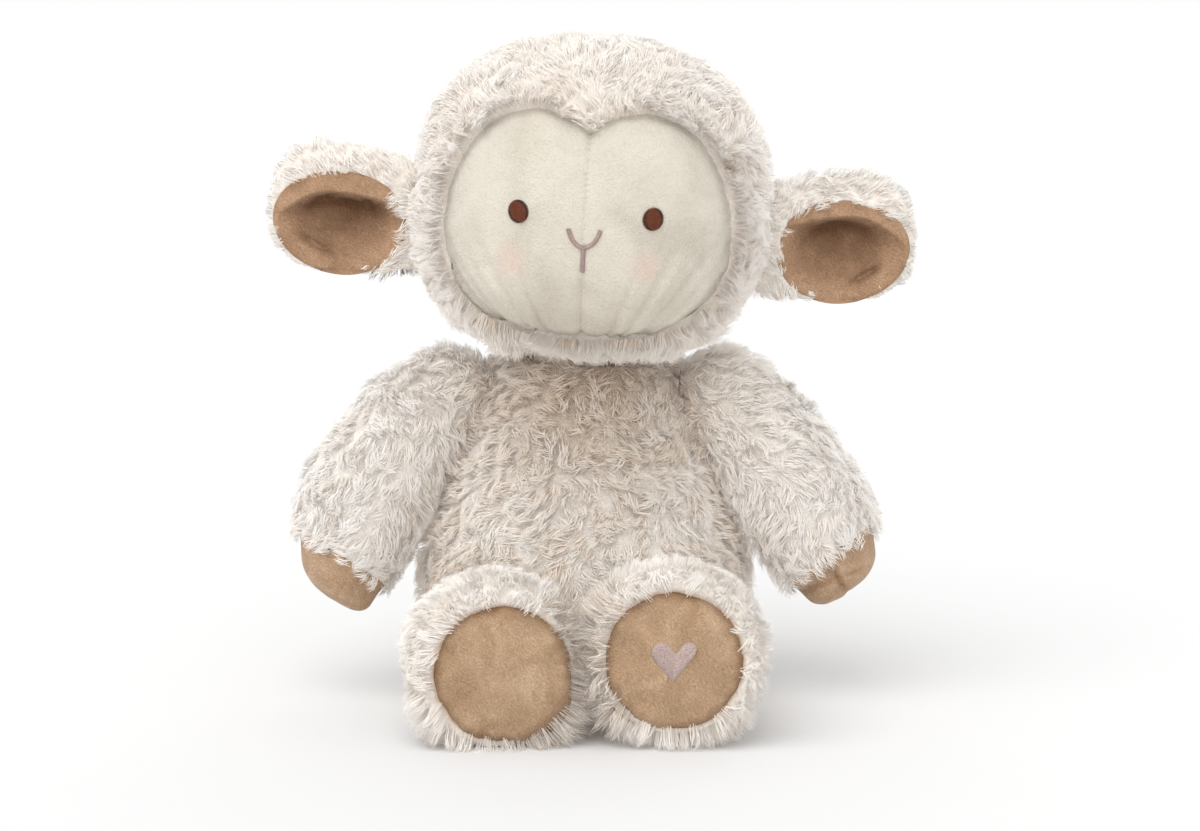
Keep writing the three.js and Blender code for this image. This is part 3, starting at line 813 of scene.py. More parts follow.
def strand_look(name, root, middle, tip, warm, glow, dim=None):
    """Pile strands: darker at the root and pale at the tip, along the map's second axis, and a little
    warmer and darker for strands of low tone, along its first, down to a crease's painted shade at tone 0.
    A faint warm glow is painted light: it stands for the light that thin white fibres pass on to each
    other, and is stronger at their edges as a painted rim light. dim holds the three colours of the
    breast's painted shadow."""
    look, tree, shader = new_look(
        name, Roughness=0.85, Sheen_Weight=0.9, Sheen_Roughness=0.5, Specular_IOR_Level=0.15)
    places = tree.nodes.new("ShaderNodeSeparateXYZ")
    uv_map = tree.nodes.new("ShaderNodeUVMap")
    uv_map.uv_map = STRAND_MAP
    tree.links.new(uv_map.outputs["UV"], places.inputs[0])
    along = ramp(tree, places.outputs["Y"], list(zip(LENGTH_STOPS, (root, middle, tip))))
    if dim:
        darker = ramp(tree, places.outputs["Y"], list(zip(LENGTH_STOPS, dim)))
        along = mixed(tree, "MIX", chin_shadow(tree), along, darker)
    tones = [(0.0, PAINTED_CREASE_SHADE), (0.2, warm), (0.5, PLAIN_TONE), (0.9, WHITE)]
    tone = ramp(tree, places.outputs["X"], tones)
    tree.links.new(mixed(tree, "MULTIPLY", 1.0, along, tone), shader.inputs["Base Color"])
    shader.inputs["Emission Color"].default_value = (*srgb(FIBRE_GLOW), 1)
    edge = tree.nodes.new("ShaderNodeLayerWeight")
    rim = arithmetic(tree, "POWER", edge.outputs["Facing"], EDGE_POWER)
    rim = arithmetic(tree, "MULTIPLY", rim, EDGE_GLOW)
    glowing = arithmetic(tree, "ADD", rim, glow)
    lit = ramp(tree, places.outputs["X"], [(0.0, CREASE_LIGHT), (0.25, WHITE)])
    tree.links.new(arithmetic(tree, "MULTIPLY", glowing, lit), shader.inputs["Emission Strength"])
    look.cycles.emission_sampling = "NONE"
    return look


UNDERFUR_PAINTED_SHADE = (240, 230, 219)  # painted shade: what the underfur's colour is multiplied by where the shade layer is full
UNDERFUR_STOPS = (0.34, 0.58)


def darkened(tree, colour, most):
    """Painted shade: the colour times most, as far as a skin's shade layer says."""
    layer = tree.nodes.new("ShaderNodeAttribute")
    layer.attribute_name = SHADE_LAYER
    return mixed(tree, "MULTIPLY", layer.outputs["Fac"], colour, srgb(most))


def underfur_look(name, dark, light, dim=None):
    """Packed underfur: curled streaks, with painted shade where its skin's shade layer marks it. dim holds
    the colours of the breast's painted shadow.
    """
    look, tree, shader = new_look(name, Roughness=0.95, Sheen_Weight=0.2, Specular_IOR_Level=0.1)
    curls = noise(tree, object_coordinates(tree), 380, detail=5, roughness=0.68, distortion=2.6)
    colour = ramp(tree, curls, list(zip(UNDERFUR_STOPS, (dark, light))))
    if dim:
        darker = ramp(tree, curls, list(zip(UNDERFUR_STOPS, dim)))
        colour = mixed(tree, "MIX", chin_shadow(tree), colour, darker)
    tree.links.new(darkened(tree, colour, UNDERFUR_PAINTED_SHADE), shader.inputs["Base Color"])
    bumped(tree, shader, curls, strength=0.8, distance=0.0012)
    return look


RIB = {"Scale": 330, "Distortion": 26, "Detail": 3, "Detail Scale": 0.5}


def velour_look(name, dark, plain, light, hollow):
    """Short-pile velour: brushed patches lighter and darker, fine ribs of the knit that wander, and a grain
    of single fibres that also raises the surface. Where the skin's shade layer says so, its colour is
    multiplied by hollow, as painted shade."""
    look, tree, shader = new_look(
        name, Roughness=0.85, Sheen_Weight=0.15, Sheen_Roughness=0.4, Specular_IOR_Level=0.15)
    where = object_coordinates(tree)
    brushed = noise(tree, where, 60, detail=2, roughness=0.55, distortion=1.2)
    fibres = noise(tree, where, 1100, detail=4, roughness=0.7)
    rib = tree.nodes.new("ShaderNodeTexWave")
    rib.wave_type = "BANDS"
    rib.bands_direction = "DIAGONAL"
    for socket, value in RIB.items():
        rib.inputs[socket].default_value = value
    tree.links.new(where, rib.inputs["Vector"])
    grain = weighted(tree, (rib.outputs["Fac"], 0.12), (fibres, 0.6))
    tone = arithmetic(tree, "ADD", grain, weighted(tree, (brushed, 0.48)))
    colour = ramp(tree, tone, [(0.4, dark), (0.63, plain), (0.84, light)])
    tree.links.new(darkened(tree, colour, hollow), shader.inputs["Base Color"])
    bumped(tree, shader, grain, strength=0.6, distance=0.0007)
    return look


CREAM_COLOURS = [(0.35, (208, 199, 183)), (0.52, (226, 218, 203)), (0.7, (235, 229, 215))]
BLUSH_COLOUR = (238, 196, 184)
BLUSH_STRENGTH = 0.38
BLUSH_REACH = 11
BLUSH_PLACES = ((-31.5, -25.5), (26.5, -24.5))  # on the face, from its middle


def face_look():
    """Cream velour with a soft blush on each cheek, whose strength falls off as a smooth ball."""
    look, tree, shader = new_look(
        "face_velour", Roughness=0.82, Sheen_Weight=0.3, Sheen_Roughness=0.4, Specular_IOR_Level=0.18)
    where = object_coordinates(tree)
    fibres = noise(tree, where, 1300, detail=3, roughness=0.65)
    brushed = noise(tree, where, 38, detail=2, roughness=0.5, distortion=0.6)
    cream = ramp(tree, weighted(tree, (fibres, 0.45), (brushed, 0.55)), CREAM_COLOURS)
    for place in BLUSH_PLACES:
        away = distance_from(tree, face_point(*np.array(place))[0])
        spot = mapped(tree, away, BLUSH_REACH * MM, 0, high=BLUSH_STRENGTH, kind="SMOOTHSTEP")
        cream = mixed(tree, "MIX", spot, cream, srgb(BLUSH_COLOUR))
    tree.links.new(cream, shader.inputs["Base Color"])
    tufted = noise(tree, where, 420, detail=3, roughness=0.6, distortion=1.0)
    height = arithmetic(tree, "ADD", fibres, weighted(tree, (tufted, 0.8)))
    bumped(tree, shader, height, strength=0.9, distance=0.0011)
    return look


def thread_look(name, dark, light):
    """Embroidery thread: a silky lustre, with its twisted plies as fine streaks."""
    look, tree, shader = new_look(name, Roughness=0.5, Sheen_Weight=0.1, Specular_IOR_Level=0.3)
    plies = noise(tree, object_coordinates(tree), 2600, detail=2, roughness=0.6)
    tree.links.new(ramp(tree, plies, [(0.35, dark), (0.65, light)]), shader.inputs["Base Color"])
    bumped(tree, shader, plies, strength=0.5, distance=0.0002)
    return look


def wadding_look(name, dark, light, per_metre):
    """Fibre wadding, or a bag of pellets where the cells are large."""
    look, tree, shader = new_look(name, Roughness=0.95, Sheen_Weight=0.2, Specular_IOR_Level=0.1)
    cells = noise(tree, object_coordinates(tree), per_metre, detail=4, roughness=0.6)
    tree.links.new(ramp(tree, cells, [(0.3, dark), (0.7, light)]), shader.inputs["Base Color"])
    bumped(tree, shader, cells, strength=0.6, distance=0.001)
    return look


# Places of the forms
neck = np.array([0, 0, TORSO["height"] - SEAT_CUT - HEAD_SINK])
head_middle = np.array(
    [HEAD_SHIFT, -HEAD_FORWARD_SHARE * TORSO["half_depth"], neck[2] + HEAD["height"] / 2])
head_turned = moved(head_middle) @ turned(1, HEAD_ROLL_DEGREES) @ turned(2, HEAD_TURN_DEGREES)
head_place = head_turned @ moved([0, 0, -HEAD["height"] / 2])


def muzzle_swell(points):
    """The front of the head swells forwards by a bell curve round a point under its middle."""
    front = np.maximum(0, -points[..., 1] / HEAD["half_depth"])
    wide = points[..., 0] / MUZZLE["reach_wide"]
    high = (points[..., 2] - HEAD["height"] / 2 + MUZZLE["drop"]) / MUZZLE["reach_high"]
    out = points.copy()
    out[..., 1] -= MUZZLE["rise"] * front * np.exp(-(wide ** 2 + high ** 2) / 2)
    return out


torso_form = SoftForm(TORSO, TORSO_SHARES, moved([0, 0, -SEAT_CUT]))
head_form = SoftForm(HEAD, HEAD_SHARES, head_place, swell=muzzle_swell)


def ear_form(side, rise, lift_degrees, back_degrees, **_):
    """An ear stands out from the side of the head, lifted and turned back by its degrees."""
    lift = math.radians(lift_degrees)
    direction = [side * math.cos(lift), math.sin(math.radians(back_degrees)), math.sin(lift)]
    root = head_middle + [side * (HEAD["half_width"] - EAR_ROOT_INSIDE), 0, rise]
    return SoftForm(EAR, EAR_SHARES, standing(root, direction, [0, 0, 1]))


def arm_form(side, out_degrees, forward_degrees, bow, **_):
    """An arm hangs from the shoulder, leaning to its side and forwards by its degrees."""
    out, forward = math.radians(out_degrees), math.radians(forward_degrees)
    direction = [
        side * math.sin(out) * math.cos(forward), -math.sin(forward), -math.cos(out) * math.cos(forward)]
    root = [side * SHOULDER_WIDE_SHARE * TORSO["half_width"], 0, SHOULDER_HIGH_SHARE * TORSO["height"]]
    return SoftForm(ARM, ARM_SHARES, standing(root, direction, [side, 0, 0]), bow=bow)


def leg_form(side, toe_in_degrees, lift_degrees, **_):
    """A leg lies ahead of the hip, turned in and lifted by its degrees."""
    toe_in = math.radians(toe_in_degrees)
    direction = [-side * math.sin(toe_in), -math.cos(toe_in), math.tan(math.radians(lift_degrees))]
    hip = [
        side * HIP_WIDE_SHARE * TORSO["half_width"],
        -HIP_FORWARD_SHARE * TORSO["half_depth"],
        LEG["half_depth"] - LEG_SINK,
    ]
    return SoftForm(LEG, LEG_SHARES, standing(hip, direction, [1, 0, 0]))


tail_drop = math.radians(TAIL_DROP_DEGREES)
tail_form = SoftForm(TAIL, TAIL_SHARES, standing(
    [0, TAIL_BACK_SHARE * TORSO["half_depth"], TAIL_HIGH_SHARE * TORSO["height"]],
    [0, math.cos(tail_drop), -math.sin(tail_drop)],
    [1, 0, 0],
))

# The face lies on the front of the head, in the head's own frame with its middle at zero
outline = catmull_rom(FACE_SHARES, closed=True)
outline_turn = np.arctan2(outline[:, 1], outline[:, 0])
outline_order = np.argsort(outline_turn)
outline_turn = outline_turn[outline_order]
outline_reach = np.hypot(*outline.T)[outline_order]


def face_reach(turn):
    """How far the face's outline lies from its middle in the direction turn, as a share."""
    return np.interp(turn, outline_turn, outline_reach, period=2 * np.pi)


def face_share(x, z):
    """0 at the middle of the face and 1 on its outline."""
    wide, high = x / FACE["half_width"], (z + FACE["drop"]) / FACE["half_height"]
    return np.hypot(wide, high) / face_reach(np.arctan2(high, wide))


LEAST_DEPTH = 0.02  # the square of the depth share at which the front goes on past the head's side


def head_front(x, z):
    """The head's front surface over (x, z): minus the ring's depth at that height and width,
    with the muzzle's swell."""
    r = head_form.at_level(head_form.radius, z / HEAD["height"] + 0.5)
    y = -HEAD["half_depth"] * np.sqrt(np.maximum(r ** 2 - (x / HEAD["half_width"]) ** 2, LEAST_DEPTH))
    return muzzle_swell(np.stack([x, y, z + HEAD["height"] / 2], -1))[..., 1]


# The face's relief in mm. A pair says where a form starts and where it is full: levels over the
# head's middle, distances beside the seam, or shares of the face's outline.
SEAM = dict(width=1.3, depth=1.3, tightest=0.35, top=(20, 34), foot=(-26, -34))
STITCH = dict(step=2.6, depth=0.55, width=0.8, levels=(-8, 6))
CHEEK = dict(puff=1.6, reach=13, power=1.6, rim=(0.6, 1.0))
GATHER = dict(height=0.7, levels=(-8, -34), fan_drop=92, beside=(3, 14), rim=(0.3, 0.8))
FOLD_WAVES = dict(waves=0.62, sway=0.9, sways=0.23)
FINE_FOLDS = dict(height=0.4, waves=1.45, start=1.7)
RIM_PUCKER = dict(height=0.16, rim=(0.82, 0.97))
RIM_WAVES = dict(waves=38, sway=5, sways=5)
DIMPLE = dict(depth=-0.9, x=1, z=-38, spread=18)
CHIN = dict(puff=2.4, levels=(-6, -42), rim=(0.9, 1.02))
RIM = dict(sink=3.2, shares=(0.9, 1.055), power=1.8, least=0.5, levels=(-35, 20))


def face_relief(x, z):
    """How far the face stands out of its plain surface: two cheeks that puff up beside the
    pinched middle seam, gathers that fan up from the chin, and an edge that rolls under."""
    share = face_share(x, z)
    tight = SEAM["tightest"]
    slack = tight + (1 - tight) * np.maximum(smooth_step(*SEAM["top"], z), smooth_step(*SEAM["foot"], z))
    seam = -SEAM["depth"] * slack * bell(x, SEAM["width"])
    pits = 0.5 - 0.5 * np.cos(z * 2 * np.pi / STITCH["step"])
    seam -= STITCH["depth"] * pits * bell(x, STITCH["width"]) * smooth_step(*STITCH["levels"], z)
    beside = 1 - np.exp(-(np.abs(x) / CHEEK["reach"]) ** CHEEK["power"])
    puff = CHEEK["puff"] * beside * (1 - smooth_step(*CHEEK["rim"], share))
    fan = np.degrees(np.arctan2(x, z + GATHER["fan_drop"]))
    fine = FINE_FOLDS["height"] * np.sin(fan * FINE_FOLDS["waves"] + FINE_FOLDS["start"])
    fold = uneven_wave(fan, **FOLD_WAVES) + fine
    gathers = GATHER["height"] * fold * smooth_step(*GATHER["levels"], z)
    gathers = gathers * smooth_step(*GATHER["beside"], np.abs(x)) * smooth_step(*GATHER["rim"], share)
    turn = np.arctan2((z + FACE["drop"]) / FACE["half_height"], x / FACE["half_width"])
    pucker = RIM_PUCKER["height"] * uneven_wave(turn, **RIM_WAVES) * smooth_step(*RIM_PUCKER["rim"], share)
    off_dimple = (x - DIMPLE["x"]) ** 2 + (z - DIMPLE["z"]) ** 2
    dimple = DIMPLE["depth"] * np.exp(-off_dimple / DIMPLE["spread"])
    chin = CHIN["puff"] * smooth_step(*CHIN["levels"], z) * (1 - smooth_step(*CHIN["rim"], share))
    deep = RIM["least"] + (1 - RIM["least"]) * smooth_step(*RIM["levels"], z)
    roll = -RIM["sink"] * deep * smooth_step(*RIM["shares"], share) ** RIM["power"]
    return seam + puff + chin + gathers + pucker + dimple + roll


def face_point(x, z, out=0.0):
    """Points and normals on the face, in the toy's frame."""
    step = 0.4
    slope_x = (head_front(x + step, z) - head_front(x - step, z)) / (2 * step)
    slope_z = (head_front(x, z + step) - head_front(x, z - step)) / (2 * step)
    normal = unit(np.stack([slope_x, -np.ones_like(slope_x), slope_z], -1))
    plain = np.stack([x, head_front(x, z), z], -1)
    points = plain + normal * (face_relief(x, z) - PILE_DEPTH + out)[..., None]
    return carried(head_turned, points), normal @ head_turned[:3, :3].T


# Looks
# The arms' and legs' fur looks are the same white fleece made lighter and given a stronger painted glow, to
# lift the shade that gathers in their pile
fur_look = strand_look(
    "lamb_fur", root=(242, 224, 205), middle=(252, 244, 235), tip=(255, 252, 247),
    warm=(250, 242, 233), glow=0.075)
body_fur_look = strand_look(
    "lamb_body_fur", root=(238, 220, 201), middle=(250, 241, 231), tip=(254, 250, 244),
    warm=(244, 234, 223), glow=0.065, dim=[(166, 144, 124), (200, 182, 164), (227, 213, 199)])
arm_fur_look = strand_look(
    "lamb_arm_fur", root=(249, 238, 225), middle=(254, 249, 243), tip=(255, 253, 250),
    warm=(253, 248, 242), glow=0.12, dim=[(184, 163, 142), (216, 200, 183), (238, 227, 214)])
leg_fur_look = strand_look(
    "lamb_leg_fur", root=(250, 239, 227), middle=(254, 248, 241), tip=(255, 253, 249),
    warm=(253, 248, 242), glow=0.12)
ground_look = underfur_look("underfur", dark=(236, 221, 206), light=(253, 246, 238))
body_ground_look = underfur_look(
    "body_underfur", dark=(237, 225, 212), light=(250, 245, 239), dim=[(154, 134, 114), (196, 178, 160)])
cream_look = face_look()
# The tan velour's hollow colour is painted shade round the sole's rolled rim
tan_look = velour_look(
    "tan_velour", dark=(146, 117, 90), plain=(173, 144, 115), light=(199, 173, 146),
    hollow=(226, 210, 194))
# The hoof caps' velour is the tan velour made a little lighter, as painted light against the shadow of the
# pile over them; its hollow colour is painted shade in the cleft and crease
hoof_look = velour_look(
    "tan_hoof_painted_lift", dark=(156, 126, 100), plain=(182, 152, 124), light=(206, 180, 155),
    hollow=(214, 196, 178))
# The ear lining's velour is the tan velour darker, partly its own colour and partly painted shade for the
# ear's deep bowl; its hollow colour is the painted shade of the bowl
lining_look = velour_look(
    "tan_lining", dark=(138, 107, 82), plain=(168, 135, 107), light=(196, 162, 132),
    hollow=(150, 134, 122))
dark_brown_thread = thread_look("dark_brown_thread", (34, 14, 8), (58, 26, 16))
brown_thread = thread_look("brown_thread", (46, 16, 5), (130, 62, 24))
mauve_thread = thread_look("mauve_thread", (138, 116, 110), (186, 164, 158))
heart_thread = thread_look("heart_thread", (152, 130, 124), (204, 184, 178))
wadding = wadding_look("fibre_wadding", (232, 220, 206), (252, 245, 237), per_metre=400)
pellets = wadding_look("pellet_cloth", (190, 186, 178), (222, 218, 210), per_metre=160)

BROAD_CURLS, FINE_CURLS = (8, 0.75), (19, 0.5)  # the underfur's locks, by size and weight


def underfur(form, around, rings, seed):
    """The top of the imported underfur: the form's grid sunk by the core's depth, with locks that
    rise and fall as two sums of sine waves."""
    u, s, rows = form.grid(around, rings)
    relief = waved(rows, BROAD_CURLS, seed) + waved(rows, FINE_CURLS, seed + 1)
    sink = CORE_DEPTH - CORE_RELIEF * np.clip(relief, -1, 1)
    return u, s, form.points(u, s, -sink)


def padded_skin(name, rows, look, body, replaced, shade=None):
    """A stuffed skin in place, on its body, standing for its node. Its poles are joined."""
    made = closed_skin(name, joined(rows), look, shade)
    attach(made, body)
    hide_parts(replaced)


def stitched(made, body, slot, *replaced):
    """Stitching in place on its body, standing for its node if it has one."""
    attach(made, body)
    for node in replaced:
        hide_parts(node)


def wadding_inside(node, form, body):
    """The filling of a stuffed form, clear of the deepest folds of its skin."""
    _, _, rows = form.grid(40, 28, -WADDING_DEPTH)
    made = closed_skin(f"{body}_wadding", rows, wadding)
    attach(made, body)
    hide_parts(node)


def on_floor(points, lowest=0.15):
    """Nothing goes under the floor: lower points lie on it."""
    out = points.copy()
    out[..., 2] = np.maximum(out[..., 2], lowest)
    return out


CREASE_REACHES = (4, 9, 14)
CREASE_PAINTED_SHADE = 0.85  # how far the torso's and the arms' pile loses its tone in a crease, as painted shade


def in_crease(points, forms):
    """How near the points lie to other forms, from 0 to 1: the share of the crease reaches
    within which they are."""
    near = [np.any([form.inside(points, reach) for form in forms], axis=0) for reach in CREASE_REACHES]
    return np.mean(near, axis=0)


arm_forms = {arm["name"]: arm_form(**arm) for arm in ARMS}
leg_forms = {leg["name"]: leg_form(**leg) for leg in LEGS}
ear_forms = {ear["name"]: ear_form(**ear) for ear in EARS}

# The pile stands thinner behind, where the underfur between its locks gets painted shade
BACK_SHADE = 0.8
TORSO_BACK = (0, 40)  # how far back this starts and is full, in mm
HEAD_BACK = (0.0, 0.5)  # the same, as shares of the head's half depth


def head_at_rest_and_limits():
    """The head's form at rest and at the limits of its turn and nod."""
    forms = [head_form]
    for turn in (-TURN_DEGREES, 0, TURN_DEGREES):
        for nod in (-NOD_DEGREES, 0, NOD_DEGREES):
            place = moved(neck) @ turned(2, turn) @ turned(0, nod) @ moved(-neck) @ head_place
            forms.append(SoftForm(HEAD, HEAD_SHARES, place, swell=muzzle_swell))
    return forms


def torso_skin():
    """The pear-shaped skin of the body, lying under the floor of its pile."""
    _, _, rows = underfur(torso_form, 150, 100, seed=5)
    for form in head_at_rest_and_limits():
        rows = form.press_out(rows, GAP - CORE_DEPTH + CORE_RELIEF)
    rows = on_floor(joined(rows), 0.0)
    # painted shade on the underfur behind, where the pile is thinner
    shade = BACK_SHADE * smooth_step(*TORSO_BACK, rows[..., 1])
    padded_skin("torso_skin", rows, body_ground_look, "torso", "torso_fur", shade)


PANEL_SINK = PILE_DEPTH + CLOTH + 3.5  # how deep the head's skin runs behind the face
PANEL_FRONT = (0.0, 0.15)  # by the share of the head's half depth
PANEL_EDGE = (1.03, 1.08)  # by the share of the face's outline


def head_skin():
    """The hood of the head. Under the face panel it sinks by the panel's thickness."""
    u, s, rows = underfur(head_form, 180, 116, seed=7)
    local = head_form.local(u, s)
    share = face_share(local[..., 0], local[..., 2] - HEAD["height"] / 2)
    front = smooth_step(*PANEL_FRONT, -local[..., 1] / HEAD["half_depth"])
    sink = PANEL_SINK * front * (1 - smooth_step(*PANEL_EDGE, share))
    rows = rows - head_form.normals(u, s) * sink[..., None]
    # painted shade on the underfur behind, where the pile is thinner
    shade = BACK_SHADE * smooth_step(*HEAD_BACK, local[..., 1] / HEAD["half_depth"])
    padded_skin("head_skin", rows, ground_look, "head", "head_fur", shade)


PANEL_GRID = dict(around=300, front=100, back=14)
PANEL_TUCK = 1.07  # the panel's front runs under the hood's pile to this share of its outline
PANEL_CROWDING = 0.9  # under 1, rings lie closer together towards the rim


def face_panel():
    """The cream face: rings of its own outline from the middle to the rim, and back behind."""
    turn = np.linspace(-np.pi, np.pi, PANEL_GRID["around"], endpoint=False)[None, :]
    front = PANEL_TUCK * np.linspace(0, 1, PANEL_GRID["front"])[:, None] ** PANEL_CROWDING
    back = np.linspace(1.0, 0, PANEL_GRID["back"])[:, None]
    reach = np.concatenate([front, back]) * face_reach(turn)
    x = reach * np.cos(turn) * FACE["half_width"]
    z = reach * np.sin(turn) * FACE["half_height"] - FACE["drop"]
    out = front_then_back(PANEL_GRID["front"], PANEL_GRID["back"], CLOTH)
    rows, _ = face_point(x, z, out)
    padded_skin("face", rows, cream_look, "head", "face_panel")


torso_skin()
head_skin()
face_panel()
wadding_inside("head_filling", head_form, "head")


def flat_turn(degrees):
    """A turn of rows of (x, z), which each row is multiplied by."""
    c, s = math.cos(math.radians(degrees)), math.sin(math.radians(degrees))
    return np.array([[c, s], [-s, c]])


EYE_TILT_DEGREES = -10
THREAD_SLANT_DEGREES = 24
EYE_THREADS = dict(count=18, reach=0.88, half_length=0.9, rise=1.0, thread=0.66)
EYE_RIM = dict(count=40, rise=0.7, thread=0.5)
EYE_RIM_INNER, EYE_RIM_OUTER = (0.74, 0.12), (1.04, 0)  # the share of the eye, and the twist


def eye(name, side):
    """A satin-stitched oval: slanted threads across a low dome, ringed by short dark stitches."""
    middle = np.array([side * EYE["spacing"] / 2, -EYE["drop"]])
    size = np.array([EYE["half_width"], EYE["half_height"]])
    tilted = flat_turn(EYE_TILT_DEGREES * side)
    offset = np.linspace(-EYE_THREADS["reach"], EYE_THREADS["reach"], EYE_THREADS["count"])
    half = EYE_THREADS["half_length"] * np.sqrt(1 - offset ** 2)
    slanted = flat_turn(THREAD_SLANT_DEGREES)
    (starts, first), (ends, last) = (
        face_point(*(middle + np.stack([sign * half, offset], -1) @ slanted * size @ tilted).T)
        for sign in (-1, 1))
    made = satin(
        f"{name}_eye_satin", starts, ends, unit(first + last), EYE_THREADS["rise"],
        EYE_THREADS["thread"], brown_thread, rings=11)
    stitched(made, "head", "brown_thread", f"{name}_eye")

    turn = full_turn(EYE_RIM["count"])
    (inner, normals), (outer, _) = (
        face_point(*(
            middle + share * np.stack([np.cos(turn + twist), np.sin(turn + twist)], -1) * size @ tilted).T)
        for share, twist in (EYE_RIM_INNER, EYE_RIM_OUTER))
    made = satin(
        f"{name}_eye_rim", inner, outer, normals, EYE_RIM["rise"], EYE_RIM["thread"],
        dark_brown_thread, rings=5)
    stitched(made, "head", "brown_thread")


# Where the nose's arms bend, as shares of their width and rise, and each stroke's threads
NOSE_BEND = (0.74, 0.14)
ARM_THREADS, STEM_THREADS = 28, 25
STEM_OVERLAP = 1
THREAD_LENGTH_SHARE = 0.6
THREAD_SLANT = 0.3


def nose():
    """The Y of the nose: threads laid across each of its strokes, which are quadratic Bezier
    curves. The two arms fall from their tips and curve in to the stem."""
    wide, high, stem = NOSE["half_width"], NOSE["arm_rise"], NOSE["stem"]
    bend_wide, bend_high = NOSE_BEND[0] * wide, NOSE_BEND[1] * high
    strokes = [
        ([(-wide, high), (-bend_wide, bend_high), (0, 0)], ARM_THREADS),
        ([(wide, high), (bend_wide, bend_high), (0, 0)], ARM_THREADS),
        ([(0, STEM_OVERLAP), (0, -stem / 2), (0, -stem)], STEM_THREADS),
    ]
    first, last, normals = [], [], []
    for corners, count in strokes:
        a, b, c = np.array(corners, float)[:, None]
        t = np.linspace(0, 1, count)[:, None]
        line = bezier(a, b, c, t)
        along = unit((b - a) * (1 - t) + (c - b) * t)
        across = np.stack([-along[:, 1], along[:, 0]], -1) * NOSE["thread"] * THREAD_LENGTH_SHARE
        across = across + along * THREAD_SLANT
        for sign, found in ((-1, first), (1, last)):
            points, facing = face_point(*(line + sign * across - [0, NOSE["drop"]]).T)
            found.append(points)
        normals.append(facing)
    first, last, normals = (np.concatenate(part) for part in (first, last, normals))
    made = satin("nose_satin", first, last, normals, rise=0.75, thread=0.55, look=mauve_thread)
    stitched(made, "head", "mauve_thread", "nose_stitching")


eye("right", -1)
eye("left", 1)
nose()


def from_head_middle(points):
    """Points of the toy's frame in the head's own, with its middle at zero."""
    own = head_form.own(points)
    own[..., 2] -= HEAD["height"] / 2
    return own


BEHIND_SHARE = 9.0


def hood_share(points):
    """The face's outline share over the hood, and large behind the middle of the head."""
    own = from_head_middle(points)
    return np.where(own[..., 1] > 0, BEHIND_SHARE, face_share(own[..., 0], own[..., 2]))


# Of the hood's pile. A pair says where something starts and where it ends or is full: shares of
# the face's outline, depths in the head's frame or levels over the head's middle.
FACE_CLEAR = 1.035
NECK_CLEAR = 1
SEAM_PILE, SEAM_PILE_MORE = (1.04, 1.18), 1.3
BACK_PILE, BACK_PILE_LESS = (-10, 35), 0.6
CHIN_LIGHT, CHIN_LIGHT_LEVELS = np.array([0, -0.12, 0.1]), (-28, -54)
TURN_BACK = (-5, 40)
BACKWARDS, DOWNWARDS = np.array([0, 0.7, -0.25]), np.array([0, 0.1, -1])
OVER_SEAM, OVER_SEAM_SHARES = 0.9, (1.06, 1.13)
CLUMPS = dict(least=0.5, wave=(7, 0.9), seed=77)
# How far the nap of brow, cheeks and chin swings sideways, from lock to lock
SWING = dict(size=11, seed=79, most=0.5)
SHORT_SEAM = (1.05, 1.18)
CHIN_FRONT, CHIN_LEVELS = (-0.2, 0.1), (-42, -54)
CHIN_UNEVEN = dict(weight=0.22, size=6, seed=81)
SEAM_TRIM, CHIN_TRIM = 0.1, 0.36
SEAM_STANDS, CHIN_LIES = 0.34, 0.1
CROWN_FROM, BACK_FROM = 0.34, -0.05


def off_face(points):
    """How thick the hood's pile stands: none on the face, thickest along its seam, and thinner
    behind."""
    share = hood_share(points)
    behind = smooth_step(*BACK_PILE, head_form.own(points)[..., 1])
    near = 1 + SEAM_PILE_MORE * (1 - smooth_step(*SEAM_PILE, share))
    clear = (share > FACE_CLEAR) * ~torso_form.inside(points, NECK_CLEAR)
    return clear * near * (1 - BACK_PILE_LESS * behind)


def chin_light(points):
    """The pile under the chin faces up and forwards."""
    return smooth_step(*CHIN_LIGHT_LEVELS, from_head_middle(points)[..., 2])[..., None] * CHIN_LIGHT


def away_from_face(points):
    """The hood's nap runs outwards from the face, back over the head, and down behind it. Along
    the seam it leans over the face in clumps, and in front it swings sideways as well."""
    own = head_form.own(points)
    middle = HEAD["height"] / 2 - FACE["drop"]
    radial = unit(np.stack([own[..., 0], 0 * own[..., 0], own[..., 2] - middle], -1))
    behind = smooth_step(*TURN_BACK, own[..., 1])[..., None]
    flow = radial * (1 - behind) + BACKWARDS * (1 - behind) + DOWNWARDS * behind
    over = OVER_SEAM - OVER_SEAM * smooth_step(*OVER_SEAM_SHARES, hood_share(points))
    clumps = CLUMPS["least"] + waved(points, CLUMPS["wave"], CLUMPS["seed"])
    flow = flow * (1 - over[..., None]) - radial * (over * clumps)[..., None]
    swing = SWING["most"] * ripple(points, SWING["size"], SWING["seed"])[..., None] * (1 - behind)
    flow = flow + np.stack([-radial[..., 2], 0 * over, radial[..., 0]], -1) * swing
    return unit(flow) @ head_place[:3, :3].T


def short_at_face(points):
    """Pile along the face's seam is shorter and stands up, and under the chin it is longer."""
    near = 1 - smooth_step(*SHORT_SEAM, hood_share(points))
    own = from_head_middle(points)
    front = -own[..., 1] / HEAD["half_depth"]
    chin = smooth_step(*CHIN_FRONT, front) * smooth_step(*CHIN_LEVELS, own[..., 2])
    uneven = CHIN_UNEVEN["weight"] * chin * ripple(points, CHIN_UNEVEN["size"], CHIN_UNEVEN["seed"])
    return 1 - SEAM_TRIM * near + CHIN_TRIM * chin + uneven, SEAM_STANDS * near - CHIN_LIES * chin


